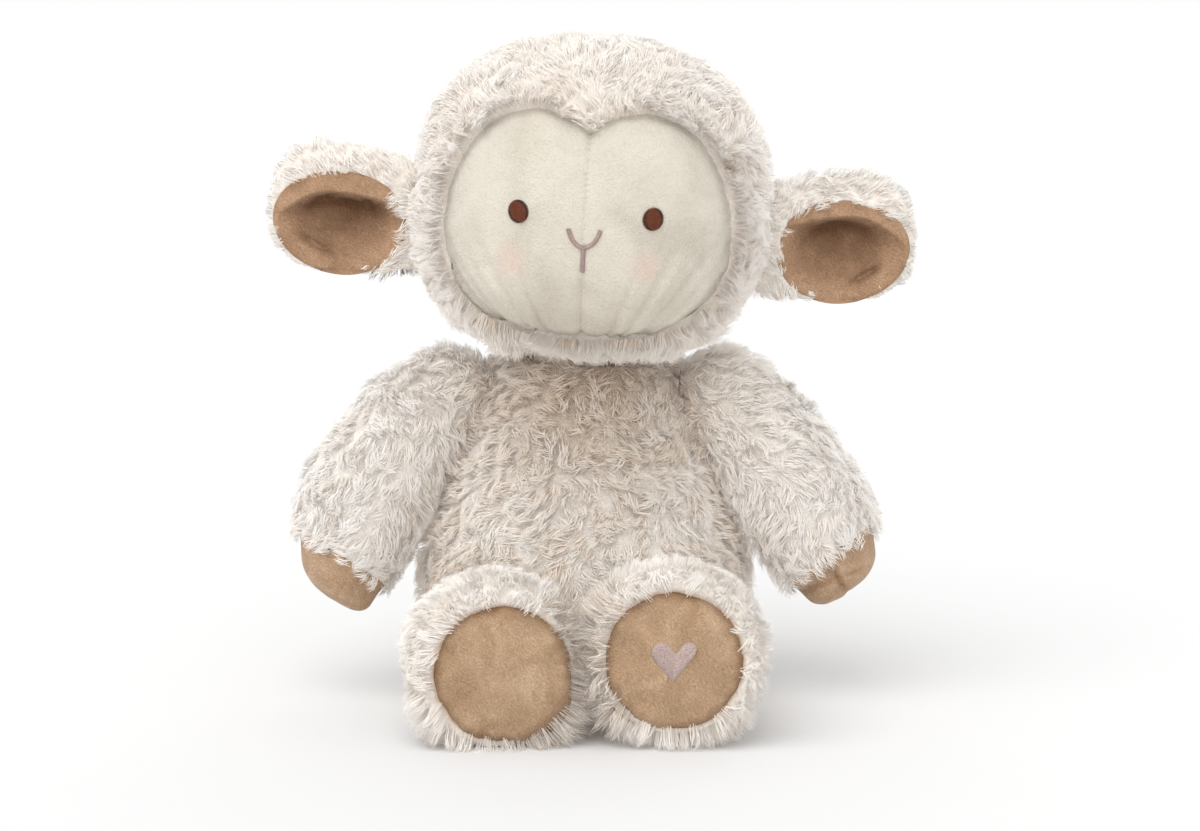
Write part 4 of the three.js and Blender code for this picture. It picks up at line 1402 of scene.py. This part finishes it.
def hood_part(points):
    """0 for the brow and cheeks, 1 for the crown and sides, and 2 for the back."""
    front = -head_form.own(points)[..., 1] / HEAD["half_depth"]
    return np.where(front > CROWN_FROM, 0, np.where(front > BACK_FROM, 1, 2))


pile(["hood_pile_front", "hood_pile_sides", "hood_pile_back"], head_form, "head",
     tufts=5200, per_tuft=9, length=8.6, width=0.3, lift=0.42, nap=away_from_face, tousle=1.0,
     gather=0.4, per_lock=11, lock_pull=0.42, allowed=off_face, look=fur_look, seed=11,
     part_of=hood_part, trim=short_at_face, tilt=chin_light)

# Of the torso's pile. Pairs are depths or heights in mm, from where to where.
SEAT_CLEAR = 1.5
INTO_NEIGHBOUR = -2  # pile may root this deep inside a neighbouring form
TORSO_BACK_PILE, TORSO_BACK_LESS = (-10, 25), 0.5
PARTING_SHARE = 0.5
BELLY_LIGHT, BELLY_LEVELS = np.array([0, -0.35, 0.45]), (115, 45)
TORSO_BACK_FROM = -12


def off_head(points):
    """How thick the torso's pile stands: none inside the head and legs or under the seat, and
    thinner behind."""
    clear = points[..., 2] > SEAT_CLEAR
    for form in [head_form, *leg_forms.values()]:
        clear &= ~form.inside(points, INTO_NEIGHBOUR)
    return clear * (1 - TORSO_BACK_LESS * smooth_step(*TORSO_BACK_PILE, points[..., 1]))


def outwards_and_down(points):
    """The body's nap falls, and leans away from its middle line."""
    aside = points[..., 0] / (TORSO["half_width"] * PARTING_SHARE)
    return np.stack([aside, 0 * aside, np.full_like(aside, -1.0)], -1)


def belly_light(points):
    """The lower belly's pile faces up and forwards."""
    return smooth_step(*BELLY_LEVELS, points[..., 2])[..., None] * BELLY_LIGHT


def torso_part(points):
    """0 for the front half and 1 for the back."""
    return (points[..., 1] > TORSO_BACK_FROM).astype(int)


def beside_limbs(points):
    """How much painted shade the torso's pile gets in the creases beside the arms and legs."""
    return CREASE_PAINTED_SHADE * in_crease(points, [*arm_forms.values(), *leg_forms.values()])


pile(["torso_pile_front", "torso_pile_back"], torso_form, "torso",
     tufts=3300, per_tuft=10, length=8.8, width=0.34, lift=0.48, nap=outwards_and_down, tousle=1.5,
     gather=0.5, crimp=0.8, per_lock=6, lock_pull=0.36, tilt=belly_light, allowed=off_head,
     look=body_fur_look, seed=23, shaped=on_floor, part_of=torso_part, hollow=beside_limbs)

INNER_FACING = (0.35, 0.85)


def towards_middle(points, form, side):
    """How far the surface of a leg faces the toy's middle, from 0 to 1."""
    middle = form.place[:3, 3] + form.place[:3, 2] * form.own(points)[..., 2:]
    return smooth_step(*INNER_FACING, -side * unit(points - middle)[..., 0])


# Of the legs. A pair says where something starts and where it is full: shares of the sole's
# radius or of the leg's length, and heights over the floor.
SOLE_SINK = PILE_DEPTH + CLOTH + 1.6  # how deep the leg's skin runs behind the sole
SOLE_EDGE = (0.88, 1.02)
FOOT_SHARE = 0.8  # past this share of the leg's length, the sole is near
SOLE_CLEAR = 0.95
FLOOR_CLEAR = 0.8
RING_PILE, RING_PILE_MORE = (0.6, 0.8), 0.8
SKIN_SHADE = 2  # the skin's painted shade at the edge of a pad rises this steeply
# Between these heights the legs' pile turns to the pile that spreads over the floor
LOW_PILE = (26, 8)
NAP_OUT, NAP_OUT_LOW = 0.6, 0.7
RING_STANDS = (0.6, 0.85)
RING_TRIM, LOW_LONGER, INNER_LONGER = 0.08, 0.55, 0.45
RING_LIFT, LOW_LIFT, INNER_LIFT = 0.25, 0.2, 0.15
# painted shade on the legs' pile where it faces between the legs
BETWEEN_LEGS_PAINTED_SHADE = 0.9
FOOT_LIGHT = 0.55
SOLE = dict(crown=4.8, roll=5.4, roll_shares=(0.8, 1.03), roll_power=1.3)
FINE_PUCKER = dict(height=0.7, shares=(0.66, 0.96))
FINE_PUCKER_WAVES = dict(waves=19, sway=3, sways=3)
BROAD_PUCKER = dict(height=0.95, waves=7, start=2.5, shares=(0.35, 0.9))
SOLE_GRID = dict(around=140, front=48, back=8, back_from=0.97)
SOLE_REACH = 1.02
SQUARE, LOPSIDED, RAGGED = 0.06, 0.014, 0.012
# Painted shade round the sole's rolled rim, stronger and weaker in five waves round it
SOLE_SHADE = dict(shares=(0.8, 1.02), mean=0.6, swing=0.4, waves=5)
HEART_COLUMNS = dict(inset=0.35, step=0.48, slant=0.7)


def make_leg(name, side, shift, drop, **_):
    """A leg: its skin and filling, its pile, the sole with a crown and a rolled rim, and on the
    left sole the heart."""
    form = leg_forms[name]
    body = f"{name}_leg"
    ahead = form.place[:3, 2]
    sole_middle = np.array([-side * shift, -drop])

    def off_middle(own):
        """How far points of the leg's own frame lie from the sole's middle line, as a share."""
        return np.hypot(own[..., 0] - sole_middle[0], own[..., 1] - sole_middle[1]) / SOLE_RADIUS

    u, s, rows = underfur(form, 100, 76, seed=9 + side)
    own = form.local(u, s)
    under_sole = 1 - smooth_step(*SOLE_EDGE, off_middle(own))
    under_sole = under_sole * (own[..., 2] > LEG["height"] * FOOT_SHARE)
    rows = rows - ahead * (under_sole * SOLE_SINK)[..., None]
    rows = on_floor(joined(torso_form.press_out(rows, GAP)), 0.0)
    # painted shade on the skin's wall round the sole
    padded_skin(
        f"{name}_leg_skin", rows, ground_look, body, f"{name}_leg_fur",
        np.minimum(SKIN_SHADE * under_sole, 1))
    wadding_inside(f"{name}_leg_filling", form, body)

    def off_sole(points):
        """How thick the leg's pile stands: none on the sole or inside the torso, and thickest
        towards the sole."""
        own = form.own(points)
        over_sole = (own[..., 2] > LEG["height"] * FOOT_SHARE) & (off_middle(own) < SOLE_CLEAR)
        open_air = ~over_sole & ~torso_form.inside(points, INTO_NEIGHBOUR) & (points[..., 2] > FLOOR_CLEAR)
        return open_air * (1 + RING_PILE_MORE * smooth_step(*RING_PILE, own[..., 2] / LEG["height"]))

    def towards_sole(points):
        """The nap runs to the sole, and outwards, near the floor the more."""
        middle = form.place[:3, 3] + ahead * form.own(points)[..., 2:]
        low = smooth_step(*LOW_PILE, points[..., 2])[..., None]
        return unit(points - middle) * (NAP_OUT + NAP_OUT_LOW * low) + ahead

    def fluffy_ring(points):
        """Pile round the sole stands up, near the floor it is longer and spreads, and between
        the legs it is longer and fills the gap."""
        near = smooth_step(*RING_STANDS, form.own(points)[..., 2] / LEG["height"])
        low = smooth_step(*LOW_PILE, points[..., 2])
        inner = towards_middle(points, form, side)
        longer = 1 - RING_TRIM * near + LOW_LONGER * low + INNER_LONGER * inner
        return longer, RING_LIFT * near + LOW_LIFT * low + INNER_LIFT * inner

    def between_legs(points):
        """How much painted shade the pile gets in a crease, and between the legs."""
        others = [torso_form] + [leg_forms[key] for key in leg_forms if key != name]
        inner = BETWEEN_LEGS_PAINTED_SHADE * towards_middle(points, form, side)
        return np.maximum(in_crease(points, others), inner)

    pile([f"{name}_leg_pile"], form, body, tufts=1700, per_tuft=10, length=8.2, width=0.27,
         lift=0.5, nap=towards_sole, tousle=0.8, gather=0.4, allowed=off_sole, look=leg_fur_look,
         seed=41 + side, shaped=on_floor, trim=fluffy_ring, per_lock=8,
         tilt=lambda points: ahead * FOOT_LIGHT + SKY_NORMAL, hollow=between_legs)

    def sole_point(x, y, out=0.0):
        """The end of the leg over (x, y): a crown over the sole's middle and a rolled rim."""
        share = np.hypot(x - sole_middle[0], y - sole_middle[1]) / SOLE_RADIUS
        turn = np.arctan2(y - sole_middle[1], x - sole_middle[0])
        crown = SOLE["crown"] * (1 - share ** 2)
        pucker = FINE_PUCKER["height"] * uneven_wave(turn, **FINE_PUCKER_WAVES)
        pucker = pucker * smooth_step(*FINE_PUCKER["shares"], share)
        broad = np.sin(turn * BROAD_PUCKER["waves"] + BROAD_PUCKER["start"] * side)
        pucker += BROAD_PUCKER["height"] * broad * smooth_step(*BROAD_PUCKER["shares"], share)
        roll = -SOLE["roll"] * smooth_step(*SOLE["roll_shares"], share) ** SOLE["roll_power"]
        z = LEG["height"] - PILE_DEPTH + crown + pucker + roll + out
        return carried(form.place, np.stack([x, y, z], -1))

    front, back = SOLE_GRID["front"], SOLE_GRID["back"]
    turn = full_turn(SOLE_GRID["around"])[None, :]
    behind = np.linspace(SOLE_GRID["back_from"], 0, back)
    share = np.concatenate([np.linspace(0, 1, front), behind])[:, None]
    square = 1 - SQUARE * np.cos(4 * turn) + LOPSIDED * np.sin(3 * turn + side)
    square = square + RAGGED * np.sin(7 * turn + side)
    reach = share * SOLE_RADIUS * SOLE_REACH * square
    x, y = sole_middle[0] + reach * np.cos(turn), sole_middle[1] + reach * np.sin(turn)
    rows = sole_point(x, y, front_then_back(front, back, CLOTH) + 0 * x)
    # painted shade on the rolled rim, in waves like folds
    folds = SOLE_SHADE["mean"] + SOLE_SHADE["swing"] * np.sin(turn * SOLE_SHADE["waves"] + side)
    shade = smooth_step(*SOLE_SHADE["shares"], share) * folds
    padded_skin(f"{name}_sole_pad", rows, tan_look, body, f"{name}_sole", shade)

    if name == "left":
        heart_stitches(form, body, sole_middle, sole_point)


def heart_stitches(form, body, middle, sole_point):
    """The heart: slanted threads from its upper edge to its lower, column by column."""
    heart = catmull_rom(HEART_SHARES) * [HEART["half_width"], HEART["height"]]
    heart[:, 1] -= HEART["height"] / 2
    inset, slant = HEART_COLUMNS["inset"], HEART_COLUMNS["slant"]
    columns = np.arange(inset - HEART["half_width"], HEART["half_width"] - inset, HEART_COLUMNS["step"])
    starts, ends = [], []
    for column in columns:
        crossing = np.flatnonzero(np.diff(np.sign(heart[:, 0] - column)))
        step = heart[crossing + 1] - heart[crossing]
        levels = heart[crossing, 1] + step[:, 1] * (column - heart[crossing, 0]) / step[:, 0]
        starts.append((column + slant, levels.max()))
        ends.append((column - slant, levels.min()))
    first, last = (sole_point(*(np.array(places) + middle).T) for places in (starts, ends))
    normals = np.broadcast_to(form.place[:3, 2], first.shape)
    made = satin(
        "sole_heart_satin", first, last, normals, rise=0.9, thread=0.6, look=heart_thread, rings=9)
    stitched(made, body, "mauve_thread", "sole_heart_stitching")


for leg in LEGS:
    make_leg(**leg)

# Of the arms. A pair says where something starts and where it is full.
CAP_SINK = PILE_DEPTH + CLOTH + 2.4  # how deep the arm's skin runs under the hoof's cap
CAP_SOFTNESS = 0.02
CUFF_OVERLAP = 0.03
HOOF_GRID = dict(around=120, outer=48, inner=16)
HOOF_END = (0.84, 0.93)
CLEFT = dict(depth=-2.0, width=1.5, front=(-8, 6))
TOE_CROSS = dict(depth=-0.9, width=1.3, share=0.93, slope=0.3, front=(2, 10))
WRINKLE = dict(height=0.35, along=2.1, sway=0.9, beside=0.4, width=9)
# painted shade per mm of the depth of the hoof's cleft and cross crease
HOOF_SHADE = -0.3
HOOF_PROUD = 0.6  # the cap stands this far out of the skin's own depth
RIGHT_CREASE_SHARE = 0.25


def make_arm(name, side, **_):
    """An arm: its skin and filling, its pile, and the bare hoof with a cleft and a cross crease."""
    form = arm_forms[name]
    body = f"{name}_arm"

    u, s, rows = underfur(form, 90, 80, seed=13 + side)
    level = form.local(u, s)[..., 2] / ARM["height"]
    under_cap = smooth_step(CUFF_SHARE - CAP_SOFTNESS, CUFF_SHARE + CAP_SOFTNESS, level)
    rows = rows - form.normals(u, s) * (under_cap * CAP_SINK)[..., None]
    rows = torso_form.press_out(rows, GAP)
    # painted shade on the skin where it sinks under the hoof's cap
    padded_skin(
        f"{name}_arm_skin", rows, body_ground_look, body, f"{name}_arm_fur",
        np.minimum(SKIN_SHADE * under_cap, 1))
    wadding_inside(f"{name}_arm_filling", form, body)

    def sleeve(points):
        """True where the arm's pile has room: up the arm from the hoof, and not inside the torso
        or the head."""
        bare = form.own(points)[..., 2] > ARM["height"] * CUFF_SHARE
        neighbours = torso_form.inside(points, INTO_NEIGHBOUR) | head_form.inside(points, INTO_NEIGHBOUR)
        return ~bare & ~neighbours

    # the arm's pile gets painted shade in the crease by the torso
    pile([f"{name}_arm_pile"], form, body, tufts=1700, per_tuft=10, length=8.8, width=0.28,
         lift=0.5, nap=lambda points: np.broadcast_to(form.place[:3, 2], points.shape), tousle=1.1,
         gather=0.42, per_lock=8, allowed=sleeve, look=arm_fur_look, seed=61 + side,
         hollow=lambda points: CREASE_PAINTED_SHADE * in_crease(points, [torso_form]))

    cuff = float(form.at_level(form.station, CUFF_SHARE - CUFF_OVERLAP))
    outer = np.linspace(1, cuff, HOOF_GRID["outer"])
    inner = np.linspace(cuff, 1, HOOF_GRID["inner"])[1:]
    turn, stations = np.broadcast_arrays(
        full_turn(HOOF_GRID["around"])[None, :], np.concatenate([outer, inner])[:, None])
    own = form.local(turn, stations)
    front = np.array([form.place[:3, 0] @ [0, -1, 0], form.place[:3, 1] @ [0, -1, 0]])
    front = front / np.hypot(*front)
    beside = own[..., 0] * -front[1] + own[..., 1] * front[0]
    towards = own[..., 0] * front[0] + own[..., 1] * front[1]
    cleft = CLEFT["depth"] * bell(beside, CLEFT["width"]) * smooth_step(*CLEFT["front"], towards)
    above = own[..., 2] - ARM["height"] * TOE_CROSS["share"] + TOE_CROSS["slope"] * beside
    cross = TOE_CROSS["depth"] * bell(above, TOE_CROSS["width"]) * smooth_step(*TOE_CROSS["front"], towards)
    wave = np.sin(own[..., 2] * WRINKLE["along"] + WRINKLE["sway"] * np.sin(beside * WRINKLE["beside"]))
    wrinkle = WRINKLE["height"] * wave * bell(beside, WRINKLE["width"])
    end_share = smooth_step(*HOOF_END, own[..., 2] / ARM["height"])
    end_share = end_share * (1 if name == "left" else RIGHT_CREASE_SHARE)
    # painted shade in the cleft and the cross crease
    shade = np.clip(HOOF_SHADE * (cleft + cross), 0, 1) * end_share
    relief = (cleft + cross + wrinkle) * end_share - PILE_DEPTH + HOOF_PROUD
    rows = form.points(turn, stations, relief + front_then_back(len(outer), len(inner), CLOTH))
    padded_skin(f"{name}_hoof", rows, hoof_look, body, f"{name}_hoof_cap", shade)


for arm in ARMS:
    make_arm(**arm)

# Of the ears. A pair says where something starts and where it is full.
EAR_LINING_SHARE = 0.72
EAR_LINING_MIDDLE_SHARE = 0.54
EAR_LINING_DROP = 5
LINING_SPREAD = 1.12  # the lining reaches this much further at the ear's lower edge and tip
LINING_HIGH = EAR["half_width"] * EAR_LINING_SHARE
LINING_LONG = EAR["height"] / 2 * EAR_LINING_SHARE
LINING_GRID = dict(around=130, front=60, back=8, front_to=1.05, back_from=1.02, thick=0.8)
EAR_CORE_DEPTH = 1.0
EAR_CURLS = (8, 0.6)
SCOOP = dict(depth=10.6, shares=(0.78, 1.02), least_wall=1.2)
BOWL = dict(depth=7.6, rest=0.62, more=0.38, power=3)
ARCH = dict(high=12.3, middle=4.4, round=0.0042, tip=0.018)
LIP = dict(below=1.0, above=1.6, rise=1.6)
HOLLOW = dict(reach=15, edge=0.5, power=1.5)
EAR_CREASE = dict(depth=1.7, width=2.0, drop=13.5, slope=0.5, middle=9, start=(1, 9), end=(16, 21))
SAG = dict(high=1, high_spread=90, along=-2, along_spread=330)
# The second pair of shares and the shade weights below are painted shade in the lining's bowl, under its
# band and in its crease, fading out towards its edge
INNER_SHARES, SHADED_SHARES = (0.72, 1.0), (0.5, 0.95)
LINING_SHADE = dict(plain=0.38, sag=0.3, hollow=0.62, crease=0.4)
LINING_THICKEST, LINING_UNDER, LEAST_LINING = 5.2, 0.2, 1.6
LINING_CLEAR = 0.99
HEAD_CLEAR = -1
EAR_NAP_AHEAD = 0.8
LOWER_EDGE, LOWER_EDGE_FROM, EAR_TIP = (0.45, 0.85), (0.25, 0.4), (0.8, 0.95)
TIP_SHARE, EDGE_TRIM, EDGE_LIES = 0.6, 0.45, 0.15
EAR_LIGHT = np.array([0, -0.3, 0.3])


def spread_lining(high, long, change):
    """The lining's two distances, changed where they point to the ear's lower edge or tip."""
    return np.where(high < 0, change(high), high), np.where(long > 0, change(long), long)


def lining_share(own):
    """0 at the lining's middle and 1 on its edge."""
    high = (own[..., 0] + EAR_LINING_DROP) / LINING_HIGH
    long = (own[..., 2] - EAR["height"] * EAR_LINING_MIDDLE_SHARE) / LINING_LONG
    return np.hypot(*spread_lining(high, long, lambda value: value / LINING_SPREAD))


def lining_relief(high, along, share, side):
    """The lining's height over its bowl, and the painted shade of its bowl and crease: an upper band folds
    forwards over a hollow whose edge is an arch, and a small crease runs in from the lower edge near the
    tip."""
    past = along - ARCH["middle"]
    arch = ARCH["high"] + side - ARCH["round"] * past ** 2 - ARCH["tip"] * np.maximum(past, 0) ** 2
    lip = smooth_step(arch - LIP["below"], arch + LIP["above"], high)
    below = smooth_step(arch - HOLLOW["reach"], arch - HOLLOW["edge"], high) * (1 - lip)
    crease_line = high + EAR_CREASE["drop"] - EAR_CREASE["slope"] * (along - EAR_CREASE["middle"])
    crease = bell(crease_line, EAR_CREASE["width"]) * smooth_step(*EAR_CREASE["start"], along)
    crease = crease * (1 - smooth_step(*EAR_CREASE["end"], along))
    sag = np.exp(-(
        (high - SAG["high"]) ** 2 / SAG["high_spread"] + (along - SAG["along"]) ** 2 / SAG["along_spread"]))
    inner = 1 - smooth_step(*INNER_SHARES, share)
    bowl = -BOWL["depth"] * (1 - share ** BOWL["power"]) * (1 - lip)
    height = bowl * (BOWL["rest"] + BOWL["more"] * np.maximum(below, sag))
    height = height + LIP["rise"] * lip * inner - EAR_CREASE["depth"] * crease * inner
    # painted shade: deepest in the hollow under the band, none on the band, fading out towards the edge
    dim = LINING_SHADE["plain"] + LINING_SHADE["sag"] * sag
    dim = dim + LINING_SHADE["hollow"] * below ** HOLLOW["power"]
    dim = dim * (1 - lip) * (1 - smooth_step(*SHADED_SHARES, share))
    return height, np.clip(dim + LINING_SHADE["crease"] * crease * inner, 0, 1)


def make_ear(name, side, **_):
    """An ear: its skin, scooped for the lining, the folded lining itself, and its pile."""
    form = ear_forms[name]
    body = f"{name}_ear"
    to_front = -np.sign(form.place[1, 1])

    u, s, rows = form.grid(96, 76)
    own = form.local(u, s)
    thick = np.maximum(own[..., 1] * to_front, 0)
    scoop = SCOOP["depth"] * (1 - smooth_step(*SCOOP["shares"], lining_share(own)))
    scoop = np.minimum(scoop, np.maximum(2 * thick - 2 * EAR_CORE_DEPTH - SCOOP["least_wall"], 0))
    rows = form.points(u, s, -EAR_CORE_DEPTH + waved(rows, EAR_CURLS, 15 + side))
    rows = rows - form.place[:3, 1] * to_front * scoop[..., None]
    rows = head_form.press_out(rows, GAP)
    # the skin gets painted shade where it is scooped for the lining
    padded_skin(
        f"{name}_ear_skin", rows, ground_look, body, f"{name}_ear_fur",
        np.minimum(scoop, 1))

    def ear_depth(high, along):
        """How far the ear's front lies from its middle sheet."""
        r = form.at_level(form.radius, along / EAR["height"], right=0)
        return EAR["half_depth"] * np.sqrt(np.maximum(r ** 2 - (high / EAR["half_width"]) ** 2, 0))

    def lining_point(share, turn, out):
        """Points of the lining in the toy's frame, and their shade."""
        high, along = share * np.cos(turn) * LINING_HIGH, share * np.sin(turn) * LINING_LONG
        high, along = spread_lining(high, along, lambda value: value * LINING_SPREAD)
        height, shade = lining_relief(high, along, np.clip(share, 0, 1), side)
        middle = EAR["height"] * EAR_LINING_MIDDLE_SHARE
        thick = ear_depth(high - EAR_LINING_DROP, along + middle)
        rest = np.minimum(thick, LINING_THICKEST) - LINING_UNDER
        clear = np.maximum(rest + height, EAR_CORE_DEPTH + LEAST_LINING - thick)
        own = np.stack([high - EAR_LINING_DROP, to_front * (clear + out), along + middle], -1)
        return carried(form.place, own), shade

    front, back = LINING_GRID["front"], LINING_GRID["back"]
    turn = full_turn(LINING_GRID["around"])[None, :]
    share = np.concatenate([
        np.linspace(0, LINING_GRID["front_to"], front), np.linspace(LINING_GRID["back_from"], 0, back)])
    out = front_then_back(front, back, LINING_GRID["thick"])
    rows, shade = lining_point(share[:, None], turn, out + 0 * turn)
    rows = head_form.press_out(rows, GAP)
    padded_skin(
        f"{name}_ear_inside", rows, lining_look, body, f"{name}_ear_lining", shade)

    def ear_fur(points):
        """True where the ear's pile has room: off the lining, and not inside the head."""
        own = form.own(points)
        bare = (own[..., 1] * to_front > 0) & (lining_share(own) < LINING_CLEAR)
        return ~bare & ~head_form.inside(points, HEAD_CLEAR)

    def ear_nap(points):
        """Towards the tip and away from the ear's middle line."""
        up = form.place[:3, 0] * (form.own(points)[..., :1] / EAR["half_width"])
        return unit(form.place[:3, 2] * EAR_NAP_AHEAD + up)

    def short_below(points):
        """Pile along the ear's lower edge and tip is short, and lies down."""
        own = form.own(points)
        level = own[..., 2] / EAR["height"]
        under = smooth_step(*LOWER_EDGE, -own[..., 0] / EAR["half_width"])
        under = under * smooth_step(*LOWER_EDGE_FROM, level)
        near = np.maximum(under, TIP_SHARE * smooth_step(*EAR_TIP, level))
        return 1 - EDGE_TRIM * near, -EDGE_LIES * near

    pile([f"{name}_ear_pile"], form, body, tufts=700, per_tuft=9, length=7.0, width=0.25,
         lift=0.45, nap=ear_nap, tousle=0.8, gather=0.35, allowed=ear_fur, look=leg_fur_look,
         seed=81 + side, base=-1.6, trim=short_below, tilt=lambda points: EAR_LIGHT)


for ear in EARS:
    make_ear(**ear)

_, _, rows = underfur(tail_form, 48, 36, seed=17)
rows = torso_form.press_out(rows, GAP)
padded_skin("tail_skin", rows, ground_look, "tail", "tail")
pile(["tail_pile"], tail_form, "tail", tufts=220, per_tuft=9, length=8.6, width=0.38, lift=0.5,
     nap=lambda points: np.broadcast_to(tail_form.place[:3, 2], points.shape), tousle=0.9,
     gather=0.5, allowed=lambda points: ~torso_form.inside(points, INTO_NEIGHBOUR), look=fur_look,
     seed=97)

# Inside pieces keep their nodes, with a look of their own
for node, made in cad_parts.items():
    if made.hide_render:
        continue
    made.data.materials.clear()
    made.data.materials.append(pellets if node == "seat_bean_bag" else wadding)

# Floor, light and camera
FLOOR_HALF = 40.0
FLOOR_COLOUR = (225, 225, 225)
SKY_STRENGTH = 0.78
LAMP_SPREAD_DEGREES = 60


def plain_floor():
    """One large pale square that keeps the toy's shadow."""
    mesh = bpy.data.meshes.new("floor")
    half = FLOOR_HALF
    corners = [(-half, -half, 0), (half, -half, 0), (half, half, 0), (-half, half, 0)]
    mesh.from_pydata(corners, [], [(0, 1, 2, 3)])
    look, _, shader = new_look("pale_floor", Roughness=0.9, Specular_IOR_Level=0.0)
    shader.inputs["Base Color"].default_value = (*srgb(FLOOR_COLOUR), 1)
    bare_object("floor", mesh, [look])


def studio_world():
    """An even white sky: plain white where the camera, a gloss or glass sees it, and softer as
    light."""
    world = bpy.data.worlds.new("studio")
    bpy.context.scene.world = world
    world.use_nodes = True
    tree = world.node_tree
    rays = tree.nodes.new("ShaderNodeLightPath")
    seen = arithmetic(tree, "MAXIMUM", rays.outputs["Is Camera Ray"], rays.outputs["Is Glossy Ray"])
    seen = arithmetic(tree, "MAXIMUM", seen, rays.outputs["Is Transmission Ray"])
    background = tree.nodes["Background"]
    background.inputs["Color"].default_value = (1, 1, 1, 1)
    tree.links.new(mapped(tree, seen, 0.0, 1.0, low=SKY_STRENGTH), background.inputs["Strength"])


def soft_lamp(name, direction, strength):
    """A far, wide lamp that shines from direction, so that the floor is lit evenly."""
    data = bpy.data.lights.new(name, "SUN")
    data.energy = strength
    data.angle = math.radians(LAMP_SPREAD_DEGREES)
    lamp = bpy.data.objects.new(name, data)
    lamp.rotation_euler = Vector(direction).to_track_quat("Z", "Y").to_euler()
    bpy.context.scene.collection.objects.link(lamp)


plain_floor()
studio_world()
soft_lamp("key", (-0.5, -0.75, 1.3), 1.62)
soft_lamp("back", (0.1, 1.0, 0.45), 0.8)
soft_lamp("front", (0.15, -1.0, 0.3), 0.52)


camera_data = bpy.data.cameras.new("camera")
camera_data.sensor_width = SENSOR_WIDTH
camera_data.lens = FOCAL_PIXELS / PHOTO_WIDTH * SENSOR_WIDTH
camera = bpy.data.objects.new("camera", camera_data)
bpy.context.scene.collection.objects.link(camera)
up = math.radians(CAMERA_UP_DEGREES)
camera.location = (
    CAMERA_AIM[0],
    CAMERA_AIM[1] - CAMERA_DISTANCE * math.cos(up),
    CAMERA_AIM[2] + CAMERA_DISTANCE * math.sin(up),
)
camera.rotation_euler = (math.pi / 2 - up, 0, 0)
bpy.context.scene.camera = camera
bpy.context.scene.view_settings.view_transform = "Standard"
